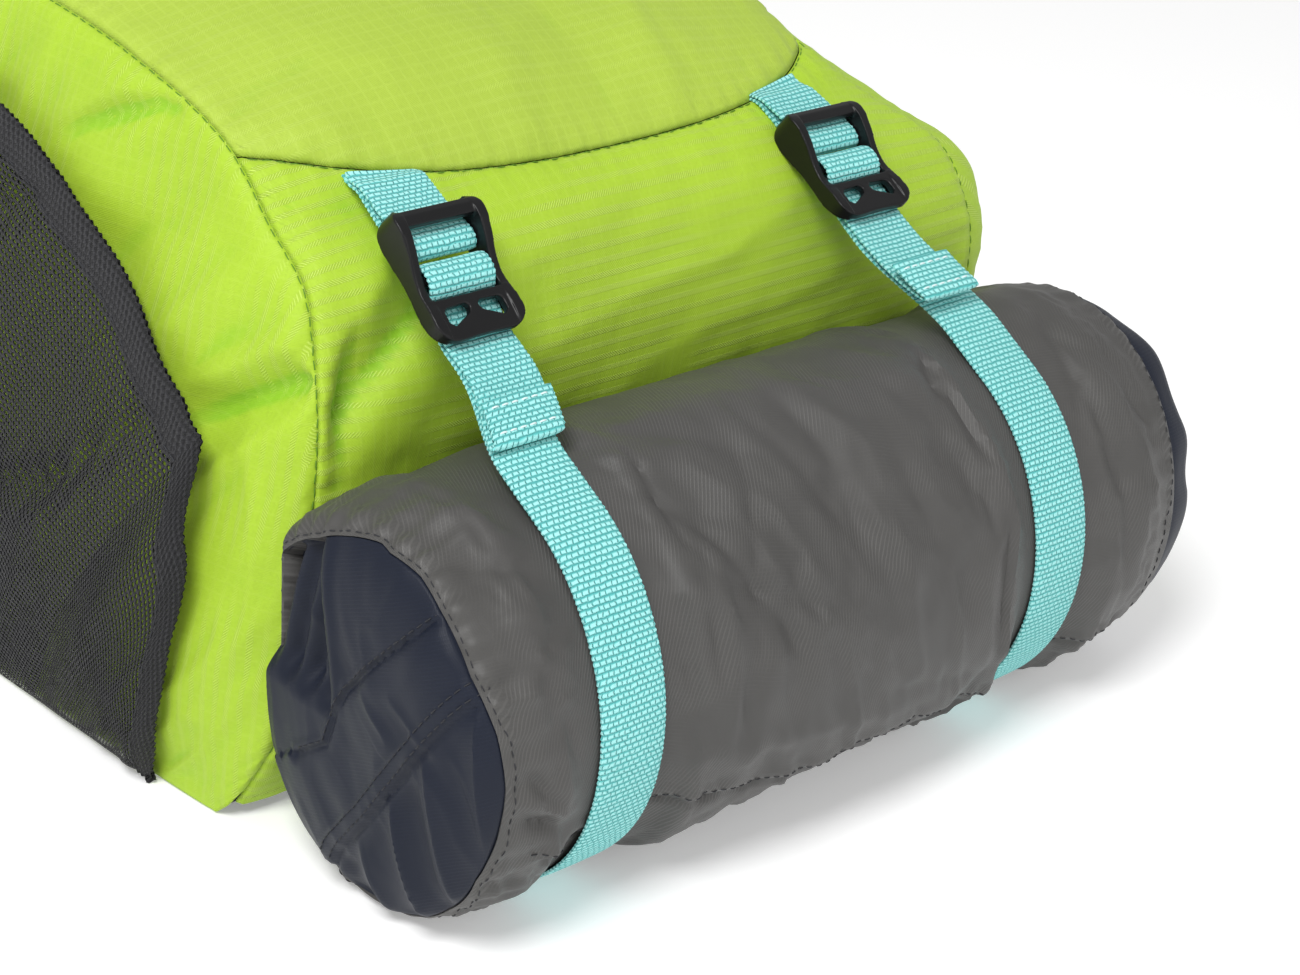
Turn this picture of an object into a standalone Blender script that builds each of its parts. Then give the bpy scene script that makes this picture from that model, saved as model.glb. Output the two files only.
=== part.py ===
"""Hiking backpack lying on its back, with a rolled sack held at its lower end by two webbing straps.

Metres, +Z up, +Y towards the pack's top end, +X across. The pieces are worked out round the roll's
axis on the floor and then moved together, so that the whole thing is centred over the origin.
"""

import math

import bmesh
import bpy
import numpy as np
from mathutils import Matrix, Vector

# Cloth and webbing
WALL = 0.0015
MESH_WALL = 0.0012
WEB = 0.0012
WEB_WIDTH = 0.020
GAP = 0.0003

# The bag, measured from the plane of its bottom
BAG_LENGTH = 0.450
BAG_DEPTH = 0.186
BAG_HALF_BACK = 0.133
BAG_CROWN = 0.014
BAG_BOTTOM_Y = 0.035
BACK_EDGE_Z = 0.0005
BACK_ARCH = 0.014
SIDE_BULGE_LEFT = 0.008
SIDE_BULGE_RIGHT = 0.012
LID_STAND = 0.0006

# Seams across the bag, as shares of the way round its outline
FRONT_SEAM_SHARE = 0.216
FRONT_SEAM_CORNER_SHARE = 0.250
TAB_SEAM_SHARE = 0.004
LID_SEAM_SHARE = 0.770
LID_OVERLAP_SHARE = 0.030

# Outline of the bag seen from the side, from its lower back edge up the bottom, round the front and
# over the top end to its upper back edge. Along and up are shares of the length and the depth, left
# and right how far each side seam is from the middle as shares of the back's half width, and crown
# the outward bulge at the middle.
# Columns: along, up, left, right, crown
OUTLINE = (
    (0.027, 0.006, 0.917, 0.917, 0.00),
    (0.004, 0.134, 0.872, 0.917, 0.00),
    (0.000, 0.242, 0.842, 0.947, -0.10),
    (0.006, 0.403, 0.805, 0.985, -0.15),
    (0.011, 0.538, 0.782, 1.015, 0.10),
    (0.020, 0.626, 0.767, 1.023, 0.35),
    (0.042, 0.731, 0.741, 0.977, 0.60),
    (0.076, 0.796, 0.737, 0.857, 0.70),
    (0.122, 0.882, 0.737, 0.737, 0.75),
    (0.189, 0.941, 0.759, 0.752, 0.80),
    (0.278, 0.978, 0.782, 0.782, 0.95),
    (0.444, 1.000, 0.805, 0.805, 1.00),
    (0.667, 0.989, 0.805, 0.805, 1.00),
    (0.867, 0.925, 0.782, 0.782, 0.90),
    (0.956, 0.806, 0.774, 0.774, 0.70),
    (0.993, 0.591, 0.797, 0.797, 0.50),
    (1.000, 0.323, 0.842, 0.842, 0.40),
    (0.978, 0.006, 0.887, 0.887, 0.00),
)

# Mesh side pocket: its free hem as shares of the way round the side seam and down to the back edge,
# and how far the hem and the cloth behind it stand out.
# Columns: round, down, stand
POCKET_HEM = (
    (0.060, 0.990, 0.10),
    (0.085, 0.640, 0.35),
    (0.120, 0.400, 0.60),
    (0.165, 0.245, 1.00),
    (0.215, 0.235, 0.80),
    (0.280, 0.200, 0.60),
    (0.380, 0.130, 0.50),
    (0.520, 0.140, 0.50),
    (0.620, 0.300, 0.45),
    (0.690, 0.600, 0.35),
    (0.720, 0.980, 0.10),
)
POCKET_STAND = 0.007
POCKET_PUFF = 0.008
POCKET_NARROWEST = 0.94

# The roll
ROLL_LEFT_X = -0.1120
ROLL_RIGHT_X = 0.1282
ROLL_HALF_DEPTH = 0.0479
ROLL_HALF_HEIGHT = 0.0547
ROLL_TILT = math.radians(-10.0)
ROLL_SIDES = 32
END_SHARES = (1.0, 0.97, 0.90, 0.74, 0.50, 0.24)
STRAP_CLEAR = 0.00066
ROLL_FLOOR = WEB + STRAP_CLEAR
ROLL_BACK_Y = BAG_BOTTOM_Y - WEB - 3 * GAP
ROLL_END_RISE_LEFT = 0.012
ROLL_END_RISE_RIGHT = 0.016
STRAP_DENT = 0.0022
STRAP_DENT_EDGE = 0.0115
STRAP_DENT_FADE = 0.012

# The roll along its length, as a share of the way from its left seam to its right one: its size, the
# height of its upper half against that size, and how far it sags forward as a share of its half depth.
# Columns: way, size, top, forward
ROLL_SECTIONS = (
    (0.00, 0.990, 0.880, 0.00),
    (0.07, 1.010, 0.930, 0.00),
    (0.18, 1.000, 1.000, 0.00),
    (0.50, 1.015, 1.000, 0.02),
    (0.84, 1.000, 1.000, 0.00),
    (0.94, 0.995, 1.000, 0.00),
    (1.00, 0.950, 1.000, 0.00),
)

# Soft folds in the roll, and one swell with its depth below zero: way along it, the angle round it
# where a fold lies, its length along, its half width round in degrees and its depth as a share of the
# half depth.
# Columns: way, round, length, spread, depth
ROLL_FOLDS = (
    (0.55, 222.0, 0.90, 34.0, -0.060),
    (0.50, 238.0, 0.95, 7.0, 0.035),
    (0.60, 165.0, 0.16, 14.0, 0.030),
    (0.33, 150.0, 0.14, 12.0, 0.025),
    (0.74, 135.0, 0.12, 12.0, 0.025),
    (0.93, 160.0, 0.10, 14.0, 0.030),
    (0.07, 175.0, 0.08, 12.0, 0.030),
)

# Creases across the navy ends: the turn of each crease from upright, its offset from the middle and
# its depth, both as shares of the half depth.
# Columns: turn, offset, depth
END_FOLDS = (
    (0.0, -0.62, 0.10),
    (52.0, 0.05, 0.05),
    (52.0, 0.42, 0.06),
    (8.0, 0.55, 0.05),
)
END_FOLD_WIDTH = 0.005

# Where the roll's sections lie between its straps, as shares of the way from its left seam to its right
ROLL_RINGS = (0.28, 0.39, 0.516, 0.641, 0.966)

# Each lashing strap: where its tab is sewn, where its buckle lies and where it crosses the roll, as
# shares of the back's half width, then how far the buckle's upper end lies forward of the tab's seam
# and below it, as shares of the buckle's length, and the buckle's fall in degrees.
# Columns: side, root, buckle, roll, forward, below, fall
LASHINGS = (
    ("left", -0.500, -0.515, -0.568, 0.402, 0.055, 44.0),
    ("right", 0.526, 0.538, 0.598, 0.253, 0.087, 34.0),
)
TAB_LIFT = 0.0016
TAB_SWING = 0.008
STRAP_ROOT_HIGH = 0.040
STRAP_ROOT_LOW = 0.016
STRAP_SWING = 0.007
STRAP_BEND = 0.0005
TAIL_LENGTH = 0.031
TAIL_HEM = 0.012
TAIL_LIFT_LEFT = 0.0004
TAIL_LIFT_RIGHT = 0.0040

# Ladder lock
BUCKLE_WIDTH = 0.0270
BUCKLE_LENGTH = 0.0350
BUCKLE_CHEEK = 0.0030
BUCKLE_BAR = 0.0026
LIP_THICKNESS = 0.0022
LIP_RISE = 0.0010

# Side view of a cheek: along from the top bar and height over the webbing, both as shares of the
# buckle's length.
# Columns: along, low, high
CHEEK = (
    (0.000, 0.06, 0.18),
    (0.060, 0.00, 0.25),
    (0.180, -0.03, 0.27),
    (0.330, -0.02, 0.23),
    (0.480, 0.00, 0.17),
    (0.620, 0.01, 0.15),
    (0.760, 0.02, 0.18),
    (0.900, 0.05, 0.22),
    (1.000, 0.10, 0.19),
)

# Side view of the top bar and plan of one hole in the lip, as shares of the buckle's length: the hole's
# points lie across from the middle and along from the lip's start.
# Columns: along, up
TOP_BAR = ((0.03, 0.16), (0.03, 0.23), (0.08, 0.255), (0.15, 0.25), (0.16, 0.20), (0.12, 0.165))
# Columns: across, along
LIP_HOLE = ((0.223, 0.074), (0.234, 0.160), (0.194, 0.177), (0.046, 0.097), (0.063, 0.063))

# Harness under the pack
PAD_WIDTH = 0.055
PAD_THICKNESS = 0.008
# Columns: across, up, as shares of the half width and the half thickness
PAD_SECTION = ((-1, -0.5), (-0.8, -1), (0.8, -1), (1, -0.5), (1, 0.5), (0.8, 1), (-0.8, 1), (-1, 0.5))
ADJUSTER_HALF_LENGTH = 0.0105
ADJUSTER_HALF_WIDTH = 0.0130
ADJUSTER_SLOT = 0.0078
ADJUSTER_BAR = 0.0018
ADJUSTER_THICKNESS = 0.0020
ADJUSTER_LOW = 0.0044
ADJUSTER_SHARE = 0.40
SHOULDER_WEB_Z = 0.0034
LOOP_HALF = 0.035
LOOP_RISE = 0.022
LOOP_Z = 0.030

# A shoulder strap from its root near the top of the back to its lower end. Rise is how far it has come
# up from the floor to the back panel that it is sewn to.
# Columns: along, across, width, rise
SHOULDER = (
    (0.870, 0.300, 0.85, 1.00),
    (0.800, 0.360, 1.00, 0.45),
    (0.650, 0.470, 1.05, 0.00),
    (0.500, 0.560, 1.00, 0.00),
    (0.380, 0.600, 0.70, 0.00),
)
SHOULDER_FOOT = 0.086
SHOULDER_FOOT_SHARE = 0.105

for item in list(bpy.data.objects):
    bpy.data.objects.remove(item, do_unlink=True)


def material(name, colour, roughness, metallic=0.0):
    made = bpy.data.materials.new(name)
    made.use_nodes = True
    surface = made.node_tree.nodes["Principled BSDF"]
    surface.inputs["Base Color"].default_value = (*colour, 1.0)
    surface.inputs["Roughness"].default_value = roughness
    surface.inputs["Metallic"].default_value = metallic
    made.diffuse_color = (*colour, 1.0)
    return made


LIME = material("lime_cloth", (0.36, 0.60, 0.03), 0.75)
LIME_LIGHT = material("pale_lime_cloth", (0.45, 0.67, 0.08), 0.75)
MESH = material("charcoal_mesh", (0.055, 0.055, 0.058), 0.9)
TEAL = material("turquoise_webbing", (0.12, 0.62, 0.56), 0.8)
GREY = material("grey_cloth", (0.10, 0.098, 0.093), 0.6)
NAVY = material("navy_cloth", (0.042, 0.052, 0.082), 0.65)
BLACK = material("black_plastic", (0.015, 0.015, 0.016), 0.4)
DARK = material("dark_padding", (0.05, 0.05, 0.053), 0.9)


def volume_of(points, faces):
    total = 0.0
    for face in faces:
        for k in range(1, len(face) - 1):
            a, b, c = points[face[0]], points[face[k]], points[face[k + 1]]
            total += float(np.dot(a, np.cross(b, c)))
    return total


def add(name, points, faces, mat, crease=35.0):
    """One closed mesh object with its faces out."""
    points = np.asarray(points, float)
    if volume_of(points - points.mean(axis=0), faces) < 0:
        faces = [tuple(reversed(face)) for face in faces]
    mesh = bpy.data.meshes.new(name)
    mesh.from_pydata([tuple(p) for p in points], [], [tuple(map(int, face)) for face in faces])
    mesh.materials.append(mat)
    mesh.shade_smooth()
    mesh.set_sharp_from_angle(angle=math.radians(crease))
    made = bpy.data.objects.new(name, mesh)
    bpy.context.scene.collection.objects.link(made)
    return made


def normals_of(grid):
    along = np.gradient(grid, axis=0)
    across = np.gradient(grid, axis=1)
    n = np.cross(along, across)
    return n / np.maximum(np.linalg.norm(n, axis=2, keepdims=True), 1e-12)


def sheet(name, grid, wall, mat, outward, crease=35.0):
    """Cloth of one wall: the grid is its outer face and outward a direction that face looks to."""
    n = normals_of(grid)
    if np.dot(n[grid.shape[0] // 2, grid.shape[1] // 2], outward) < 0:
        n = -n
    rows, columns = grid.shape[:2]
    size = rows * columns
    points = np.concatenate([grid.reshape(-1, 3), (grid - n * wall).reshape(-1, 3)])
    at = np.arange(size).reshape(rows, columns)
    faces = []
    for i in range(rows - 1):
        for j in range(columns - 1):
            quad = (at[i, j], at[i + 1, j], at[i + 1, j + 1], at[i, j + 1])
            faces.append(quad)
            # the inner quad starts at the same corner, so that both faces split along the same diagonal
            faces.append(tuple(size + quad[k] for k in (0, 3, 2, 1)))
    edge = list(at[0, :]) + list(at[1:, -1]) + list(at[-1, -2::-1]) + list(at[-2:0:-1, 0])
    for a, b in zip(edge, edge[1:] + edge[:1]):
        faces.append((a, b, size + b, size + a))
    return add(name, points, faces, mat, crease)


def loft(name, rings, mat, crease=35.0):
    """A solid through closed rings, with a point fan over each end."""
    rows, columns = rings.shape[:2]
    points = list(rings.reshape(-1, 3))
    points.append(rings[0].mean(axis=0))
    points.append(rings[-1].mean(axis=0))
    faces = []
    for j in range(columns):
        k = (j + 1) % columns
        for i in range(rows - 1):
            a, b = i * columns, (i + 1) * columns
            faces.append((a + j, a + k, b + k, b + j))
        last = (rows - 1) * columns
        faces.append((rows * columns, k, j))
        faces.append((rows * columns + 1, last + j, last + k))
    return add(name, points, faces, mat, crease)


def spline(rows, count):
    """Catmull-Rom through the rows, evenly spread by the length of the first two columns."""
    rows = np.asarray(rows, float)
    ends = np.vstack([2 * rows[0] - rows[1], rows, 2 * rows[-1] - rows[-2]])
    fine = []
    for i in range(1, len(ends) - 2):
        a, b, c, d = ends[i - 1 : i + 3]
        bend = 2 * a - 5 * b + 4 * c - d
        twist = 3 * b - a - 3 * c + d
        for t in np.linspace(0.0, 1.0, 24, endpoint=False):
            fine.append(b + 0.5 * ((c - a) * t + bend * t**2 + twist * t**3))
    fine.append(rows[-1])
    fine = np.array(fine)
    steps = np.hypot(np.diff(fine[:, 0]), np.diff(fine[:, 1]))
    way = np.concatenate([[0.0], np.cumsum(steps)])
    spots = np.linspace(0.0, way[-1], count)
    return np.column_stack([np.interp(spots, way, fine[:, k]) for k in range(fine.shape[1])])


def smooth(x):
    x = np.clip(x, 0.0, 1.0)
    return x * x * (3 - 2 * x)


OUTLINE_SIZES = np.array([BAG_LENGTH, BAG_DEPTH, BAG_HALF_BACK, BAG_HALF_BACK, BAG_CROWN])
FINE = spline(np.array(OUTLINE) * OUTLINE_SIZES, 401)
FINE_SHARE = np.linspace(0.0, 1.0, len(FINE))
FINE_SLOPE = np.gradient(FINE[:, :2], axis=0)
FINE_SLOPE /= np.linalg.norm(FINE_SLOPE, axis=1, keepdims=True)


def outline(s):
    return [np.interp(s, FINE_SHARE, FINE[:, k]) for k in range(5)]


def strip_point(s, c, lift=0.0):
    """The strip that makes the bag's bottom, front and top, at share s round it and c across, -1 to 1."""
    along, up, left, right, crown = outline(s)
    half = np.where(np.asarray(c) < 0, left, right)
    slope = [np.interp(s, FINE_SHARE, FINE_SLOPE[:, k]) for k in (0, 1)]
    out = crown * (1 - np.abs(c) ** 3) + lift
    y = BAG_BOTTOM_Y + along - slope[1] * out
    z = up + slope[0] * out
    return np.stack(np.broadcast_arrays(c * (half + lift * 0.5), y, z), axis=-1)


def back_half(share):
    ends = np.interp(share, (0.0, 1.0), (OUTLINE[0][2], OUTLINE[-1][2]))
    return BAG_HALF_BACK * (ends + (1 - ends) * np.sin(math.pi * share) ** 0.7)


def back_y(share):
    low = BAG_BOTTOM_Y + OUTLINE[0][0] * BAG_LENGTH
    high = BAG_BOTTOM_Y + OUTLINE[-1][0] * BAG_LENGTH
    return low + (high - low) * share


def side_point(side, a, b, lift=0.0):
    """A side panel at share a round the side seam and b from that seam to the back edge."""
    along, up, left, right, _ = outline(a)
    half = left if side < 0 else right
    bulge = SIDE_BULGE_LEFT if side < 0 else SIDE_BULGE_RIGHT
    swell = bulge * np.sin(math.pi * b) * smooth(a * 9) * smooth((1 - a) * 9) + lift
    x = half + (back_half(a) - half) * b + swell
    y = BAG_BOTTOM_Y + along + (back_y(a) - BAG_BOTTOM_Y - along) * b
    z = up + (BACK_EDGE_Z - up) * b
    return np.stack(np.broadcast_arrays(side * x, y, z), axis=-1)


def back_height(v, c):
    """Height of the back panel's outer face over the floor, at share v along it and c across."""
    return BACK_EDGE_Z + BACK_ARCH * (1 - c**6) * smooth(v * 14) * smooth((1 - v) * 14)


def front_seam(c):
    rise = FRONT_SEAM_CORNER_SHARE - FRONT_SEAM_SHARE
    return FRONT_SEAM_SHARE + rise * np.abs(c) ** 2.5


def bag_panels():
    across = np.linspace(-1.0, 1.0, 13)[None, :]
    down = np.linspace(0.0, 1.0, 17)[:, None]
    length = float(np.sum(np.hypot(np.diff(FINE[:, 0]), np.diff(FINE[:, 1]))))
    half_gap = 1.4 * GAP / length
    low = 0.004 + (front_seam(across) - half_gap - 0.004) * down
    sheet("front_lower_panel", strip_point(low, across), WALL, LIME, (0, -1, 0.4))
    down = np.linspace(0.0, 1.0, 10)[:, None]
    start = front_seam(across) + half_gap
    high = start + (LID_SEAM_SHARE - start) * down
    sheet("front_upper_panel", strip_point(high, across), WALL, LIME_LIGHT, (0, 0, 1))
    rows = np.linspace(LID_SEAM_SHARE - LID_OVERLAP_SHARE, 0.994, 12)[:, None]
    lift = WALL + GAP + LID_STAND
    sheet("top_lid", strip_point(rows, across, lift), WALL, LIME_LIGHT, (0, 1, 1))
    for name, side in (("left", -1), ("right", 1)):
        a = np.linspace(0.016, 0.984, 28)[:, None]
        along, up = outline(a)[:2]
        reach = np.hypot(back_y(a) - BAG_BOTTOM_Y - along, BACK_EDGE_Z - up)
        top = (2.6 * WALL + GAP) / reach
        b = top + (1.0 - top) * np.linspace(0.0, 1.0, 6)[None, :]
        sheet(f"side_panel_{name}", side_point(side, a, b), WALL, LIME, (side, 0, 0))
    v = np.array([0.012, 0.035, 0.072, 0.250, 0.500, 0.750, 0.928, 0.965, 0.988])[:, None]
    c = np.sin(np.linspace(-math.pi / 2, math.pi / 2, 13))[None, :]
    inner = back_half(v) - 1.8 * WALL
    grid = np.stack(np.broadcast_arrays(c * inner, back_y(v), back_height(v, c)), axis=-1)
    sheet("back_panel", grid, WALL, DARK, (0, 0, -1))


def pocket_grid(side, rows=24, columns=7):
    hem = spline(POCKET_HEM, rows)
    a = hem[:, 0:1]
    top = np.clip(hem[:, 1:2], 0.0, POCKET_NARROWEST)
    w = np.linspace(0.0, 1.0, columns)[None, :]
    b = top + (1.0 - top) * w
    stand = POCKET_STAND * hem[:, 2:3] * (1 - w) ** 1.5
    puff = POCKET_PUFF * np.sin(math.pi * w) * np.sqrt(np.clip(hem[:, 2:3], 0, 1)) * smooth((1 - top) * 3)
    lift = MESH_WALL + 2.2 * GAP + stand + puff
    return side_point(side, a, b, lift)


def roll_size(way):
    rows = np.array(ROLL_SECTIONS)
    return [np.interp(way, rows[:, 0], rows[:, k]) for k in (1, 2, 3)]


def strap_hold(x):
    """How firmly a lashing strap holds the roll at x: 1 under it and 0 away from it."""
    total = np.zeros_like(np.asarray(x, float))
    for row in LASHINGS:
        away = np.abs(x - row[3] * BAG_HALF_BACK) - STRAP_DENT_EDGE
        total = total + 1 - smooth(away / STRAP_DENT_FADE)
    return total


def roll_section(x, angle, inset=0.0):
    """(y, z) on the roll at x, with the angle in degrees from +Y over the top."""
    x = np.asarray(x, float)
    way = np.clip((x - ROLL_LEFT_X) / (ROLL_RIGHT_X - ROLL_LEFT_X), 0.0, 1.0)
    size, top, forward = roll_size(way)
    t = np.radians(angle)
    folds = 0.0
    for f_way, f_round, f_length, f_spread, f_depth in ROLL_FOLDS:
        turn = (angle - f_round + 180.0) % 360.0 - 180.0
        near = np.exp(-((turn / f_spread) ** 2)) * np.exp(-(((way - f_way) / (f_length / 2)) ** 4))
        folds = folds + f_depth * near
    hold = strap_hold(x)
    cut = inset + STRAP_DENT * hold + folds * ROLL_HALF_DEPTH * (1 - hold)
    deep = ROLL_HALF_DEPTH * size - cut
    high = ROLL_HALF_HEIGHT * size - cut
    y = deep * np.cos(t)
    z = high * np.sin(t) * np.where(np.sin(t) > 0, top, 1.0)
    spin_y = y * math.cos(ROLL_TILT) - z * math.sin(ROLL_TILT)
    spin_z = y * math.sin(ROLL_TILT) + z * math.cos(ROLL_TILT)
    spin_y = spin_y - forward * ROLL_HALF_DEPTH
    spin_z = spin_z + ROLL_HALF_HEIGHT
    return spin_y, spin_z


def pressed(y, z, inset=0.0):
    return np.minimum(y, ROLL_BACK_Y - inset), np.maximum(z, ROLL_FLOOR + inset)


def roll_end(side, share, angle, inset=0.0):
    """The rounded end beyond the seam: share 1 at the seam, 0 at the middle of the end."""
    x0 = ROLL_LEFT_X if side < 0 else ROLL_RIGHT_X
    y, z = roll_section(np.full_like(share * angle, x0), angle, inset)
    middle = ROLL_HALF_HEIGHT
    y = y * share
    z = middle + (z - middle) * share
    y, z = pressed(y, z, inset)
    crease = 0.0
    for turn, offset, depth in END_FOLDS:
        t = math.radians(turn)
        off = (y * math.cos(t) + (z - middle) * math.sin(t)) * -1.0 - offset * ROLL_HALF_DEPTH
        crease = crease + depth * ROLL_HALF_DEPTH * np.exp(-((off / END_FOLD_WIDTH) ** 2))
    rise = ROLL_END_RISE_LEFT if side < 0 else ROLL_END_RISE_RIGHT
    rounding = (1 - share**4) ** 0.5
    dome = rise * rounding - crease * (1 - share**6) - inset * rounding
    return np.stack(np.broadcast_arrays(x0 + side * dome, y, z), axis=-1)


def roll():
    around = np.linspace(0.0, 360.0, ROLL_SIDES + 1)[:-1][None, :]
    inner = WALL + 6 * GAP
    edges = [ROLL_LEFT_X, ROLL_RIGHT_X]
    edges += [ROLL_LEFT_X + way * (ROLL_RIGHT_X - ROLL_LEFT_X) for way in ROLL_RINGS]
    for row in LASHINGS:
        for m in (0.0, 0.5, 1.0):
            reach = STRAP_DENT_EDGE + m * STRAP_DENT_FADE
            edges += [row[3] * BAG_HALF_BACK - reach, row[3] * BAG_HALF_BACK + reach]
    xs = np.array(sorted(edges))[:, None]
    y, z = pressed(*roll_section(xs, around))
    body = np.stack(np.broadcast_arrays(xs, y, z), axis=-1)
    left = [roll_end(-1, np.array([[share]]), around, inner)[0] for share in reversed(END_SHARES)]
    right = [roll_end(1, np.array([[share]]), around, inner)[0] for share in END_SHARES]
    rings = np.concatenate([np.array(left), body, np.array(right)])
    loft("roll_body", rings, GREY)
    for name, side in (("left", -1), ("right", 1)):
        shares = np.array(END_SHARES)[:, None]
        outer = roll_end(side, shares, around)
        inside = roll_end(side, shares, around, WALL)
        outer[:, :, 0] += side * GAP
        inside[:, :, 0] += side * GAP
        cap(f"roll_end_{name}", outer, inside, NAVY)


def cap(name, outer, inside, mat):
    """A dished cloth end from two nested stacks of rings, each closed by a fan at its middle."""
    rows, columns = outer.shape[:2]
    size = rows * columns
    points = list(outer.reshape(-1, 3)) + list(inside.reshape(-1, 3))
    points.append(outer[-1].mean(axis=0))
    points.append(inside[-1].mean(axis=0))
    faces = []
    for j in range(columns):
        k = (j + 1) % columns
        for i in range(rows - 1):
            a, b = i * columns, (i + 1) * columns
            faces.append((a + j, a + k, b + k, b + j))
            faces.append((size + a + k, size + a + j, size + b + j, size + b + k))
        last = size - columns
        faces.append((last + j, last + k, 2 * size))
        faces.append((size + last + k, size + last + j, 2 * size + 1))
        faces.append((k, j, size + j, size + k))
    return add(name, points, faces, mat)


def ribbon(name, path, width, thick, mat, slant=0.0):
    """Webbing along a path of (x, y, z) with its width along X, or turned about Z by slant."""
    path = np.asarray(path, float)
    slope = np.gradient(path, axis=0)
    slope /= np.linalg.norm(slope, axis=1, keepdims=True)
    side = np.array([math.cos(slant), math.sin(slant), 0.0])
    up = np.cross(side, slope)
    up /= np.linalg.norm(up, axis=1, keepdims=True)
    half = side * width / 2
    rise = up * thick / 2
    corners = [path - half + rise, path + half + rise, path + half - rise, path - half - rise]
    corners = np.stack(corners, axis=1)
    rows = len(path)
    faces = [(0, 1, 2, 3), tuple(4 * (rows - 1) + k for k in (3, 2, 1, 0))]
    for i in range(rows - 1):
        for j in range(4):
            k = (j + 1) % 4
            faces.append((4 * i + j, 4 * (i + 1) + j, 4 * (i + 1) + k, 4 * i + k))
    return add(name, corners.reshape(-1, 3), faces, mat, 50.0)


def arc(centre, radius, start, stop, count):
    """Points of (along, up) round a bar, with angles in degrees."""
    t = np.radians(np.linspace(start, stop, count))
    return np.column_stack([centre[0] + radius * np.cos(t), centre[1] + radius * np.sin(t)])


def thinned(points, step, turn=6.0):
    """The path with points kept where it has turned enough or run a whole step."""
    points = np.asarray(points, float)
    kept = [points[0]]
    heading = None
    for k in range(1, len(points) - 1):
        way = points[k] - kept[-1]
        length = np.linalg.norm(way)
        if length < 0.0004:
            continue
        ahead = points[k + 1] - points[k]
        ahead_length = np.linalg.norm(ahead)
        if ahead_length < 1e-7:
            continue
        heading = way / length
        cosine = float(np.clip(np.dot(heading, ahead / ahead_length), -1.0, 1.0))
        if math.degrees(math.acos(cosine)) > turn or length > step:
            kept.append(points[k])
    kept.append(points[-1])
    return np.array(kept)


# Bars of the buckle, in its own frame: along from the upper edge and height over the load webbing.
BAR_TAB = (0.240 * BUCKLE_LENGTH, 0.085 * BUCKLE_LENGTH)
BAR_MIDDLE = (0.520 * BUCKLE_LENGTH, 0.115 * BUCKLE_LENGTH)
LIP_START = 0.700 * BUCKLE_LENGTH
LIP_HEIGHT = 0.135 * BUCKLE_LENGTH
TURN = BUCKLE_BAR / 2 + WEB / 2 + GAP


def tab_seam(row):
    """Where a buckle tab is sewn into the seam across the front."""
    across = row[1] / OUTLINE[8][2]
    return strip_point(np.array(FRONT_SEAM_SHARE + TAB_SEAM_SHARE), np.array(across))


def buckle_start(row):
    """The (y, z) of a buckle's upper end, over the load webbing."""
    seam = tab_seam(row)
    return seam[1] - row[4] * BUCKLE_LENGTH, seam[2] - row[5] * BUCKLE_LENGTH


def in_place(local, row):
    """From the buckle's own (along, up) to the (y, z) of the pack."""
    along, up = buckle_start(row)
    t = math.radians(row[6])
    y = along - local[:, 0] * math.cos(t) - local[:, 1] * math.sin(t)
    z = up - local[:, 0] * math.sin(t) + local[:, 1] * math.cos(t)
    return np.column_stack([y, z])


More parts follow.
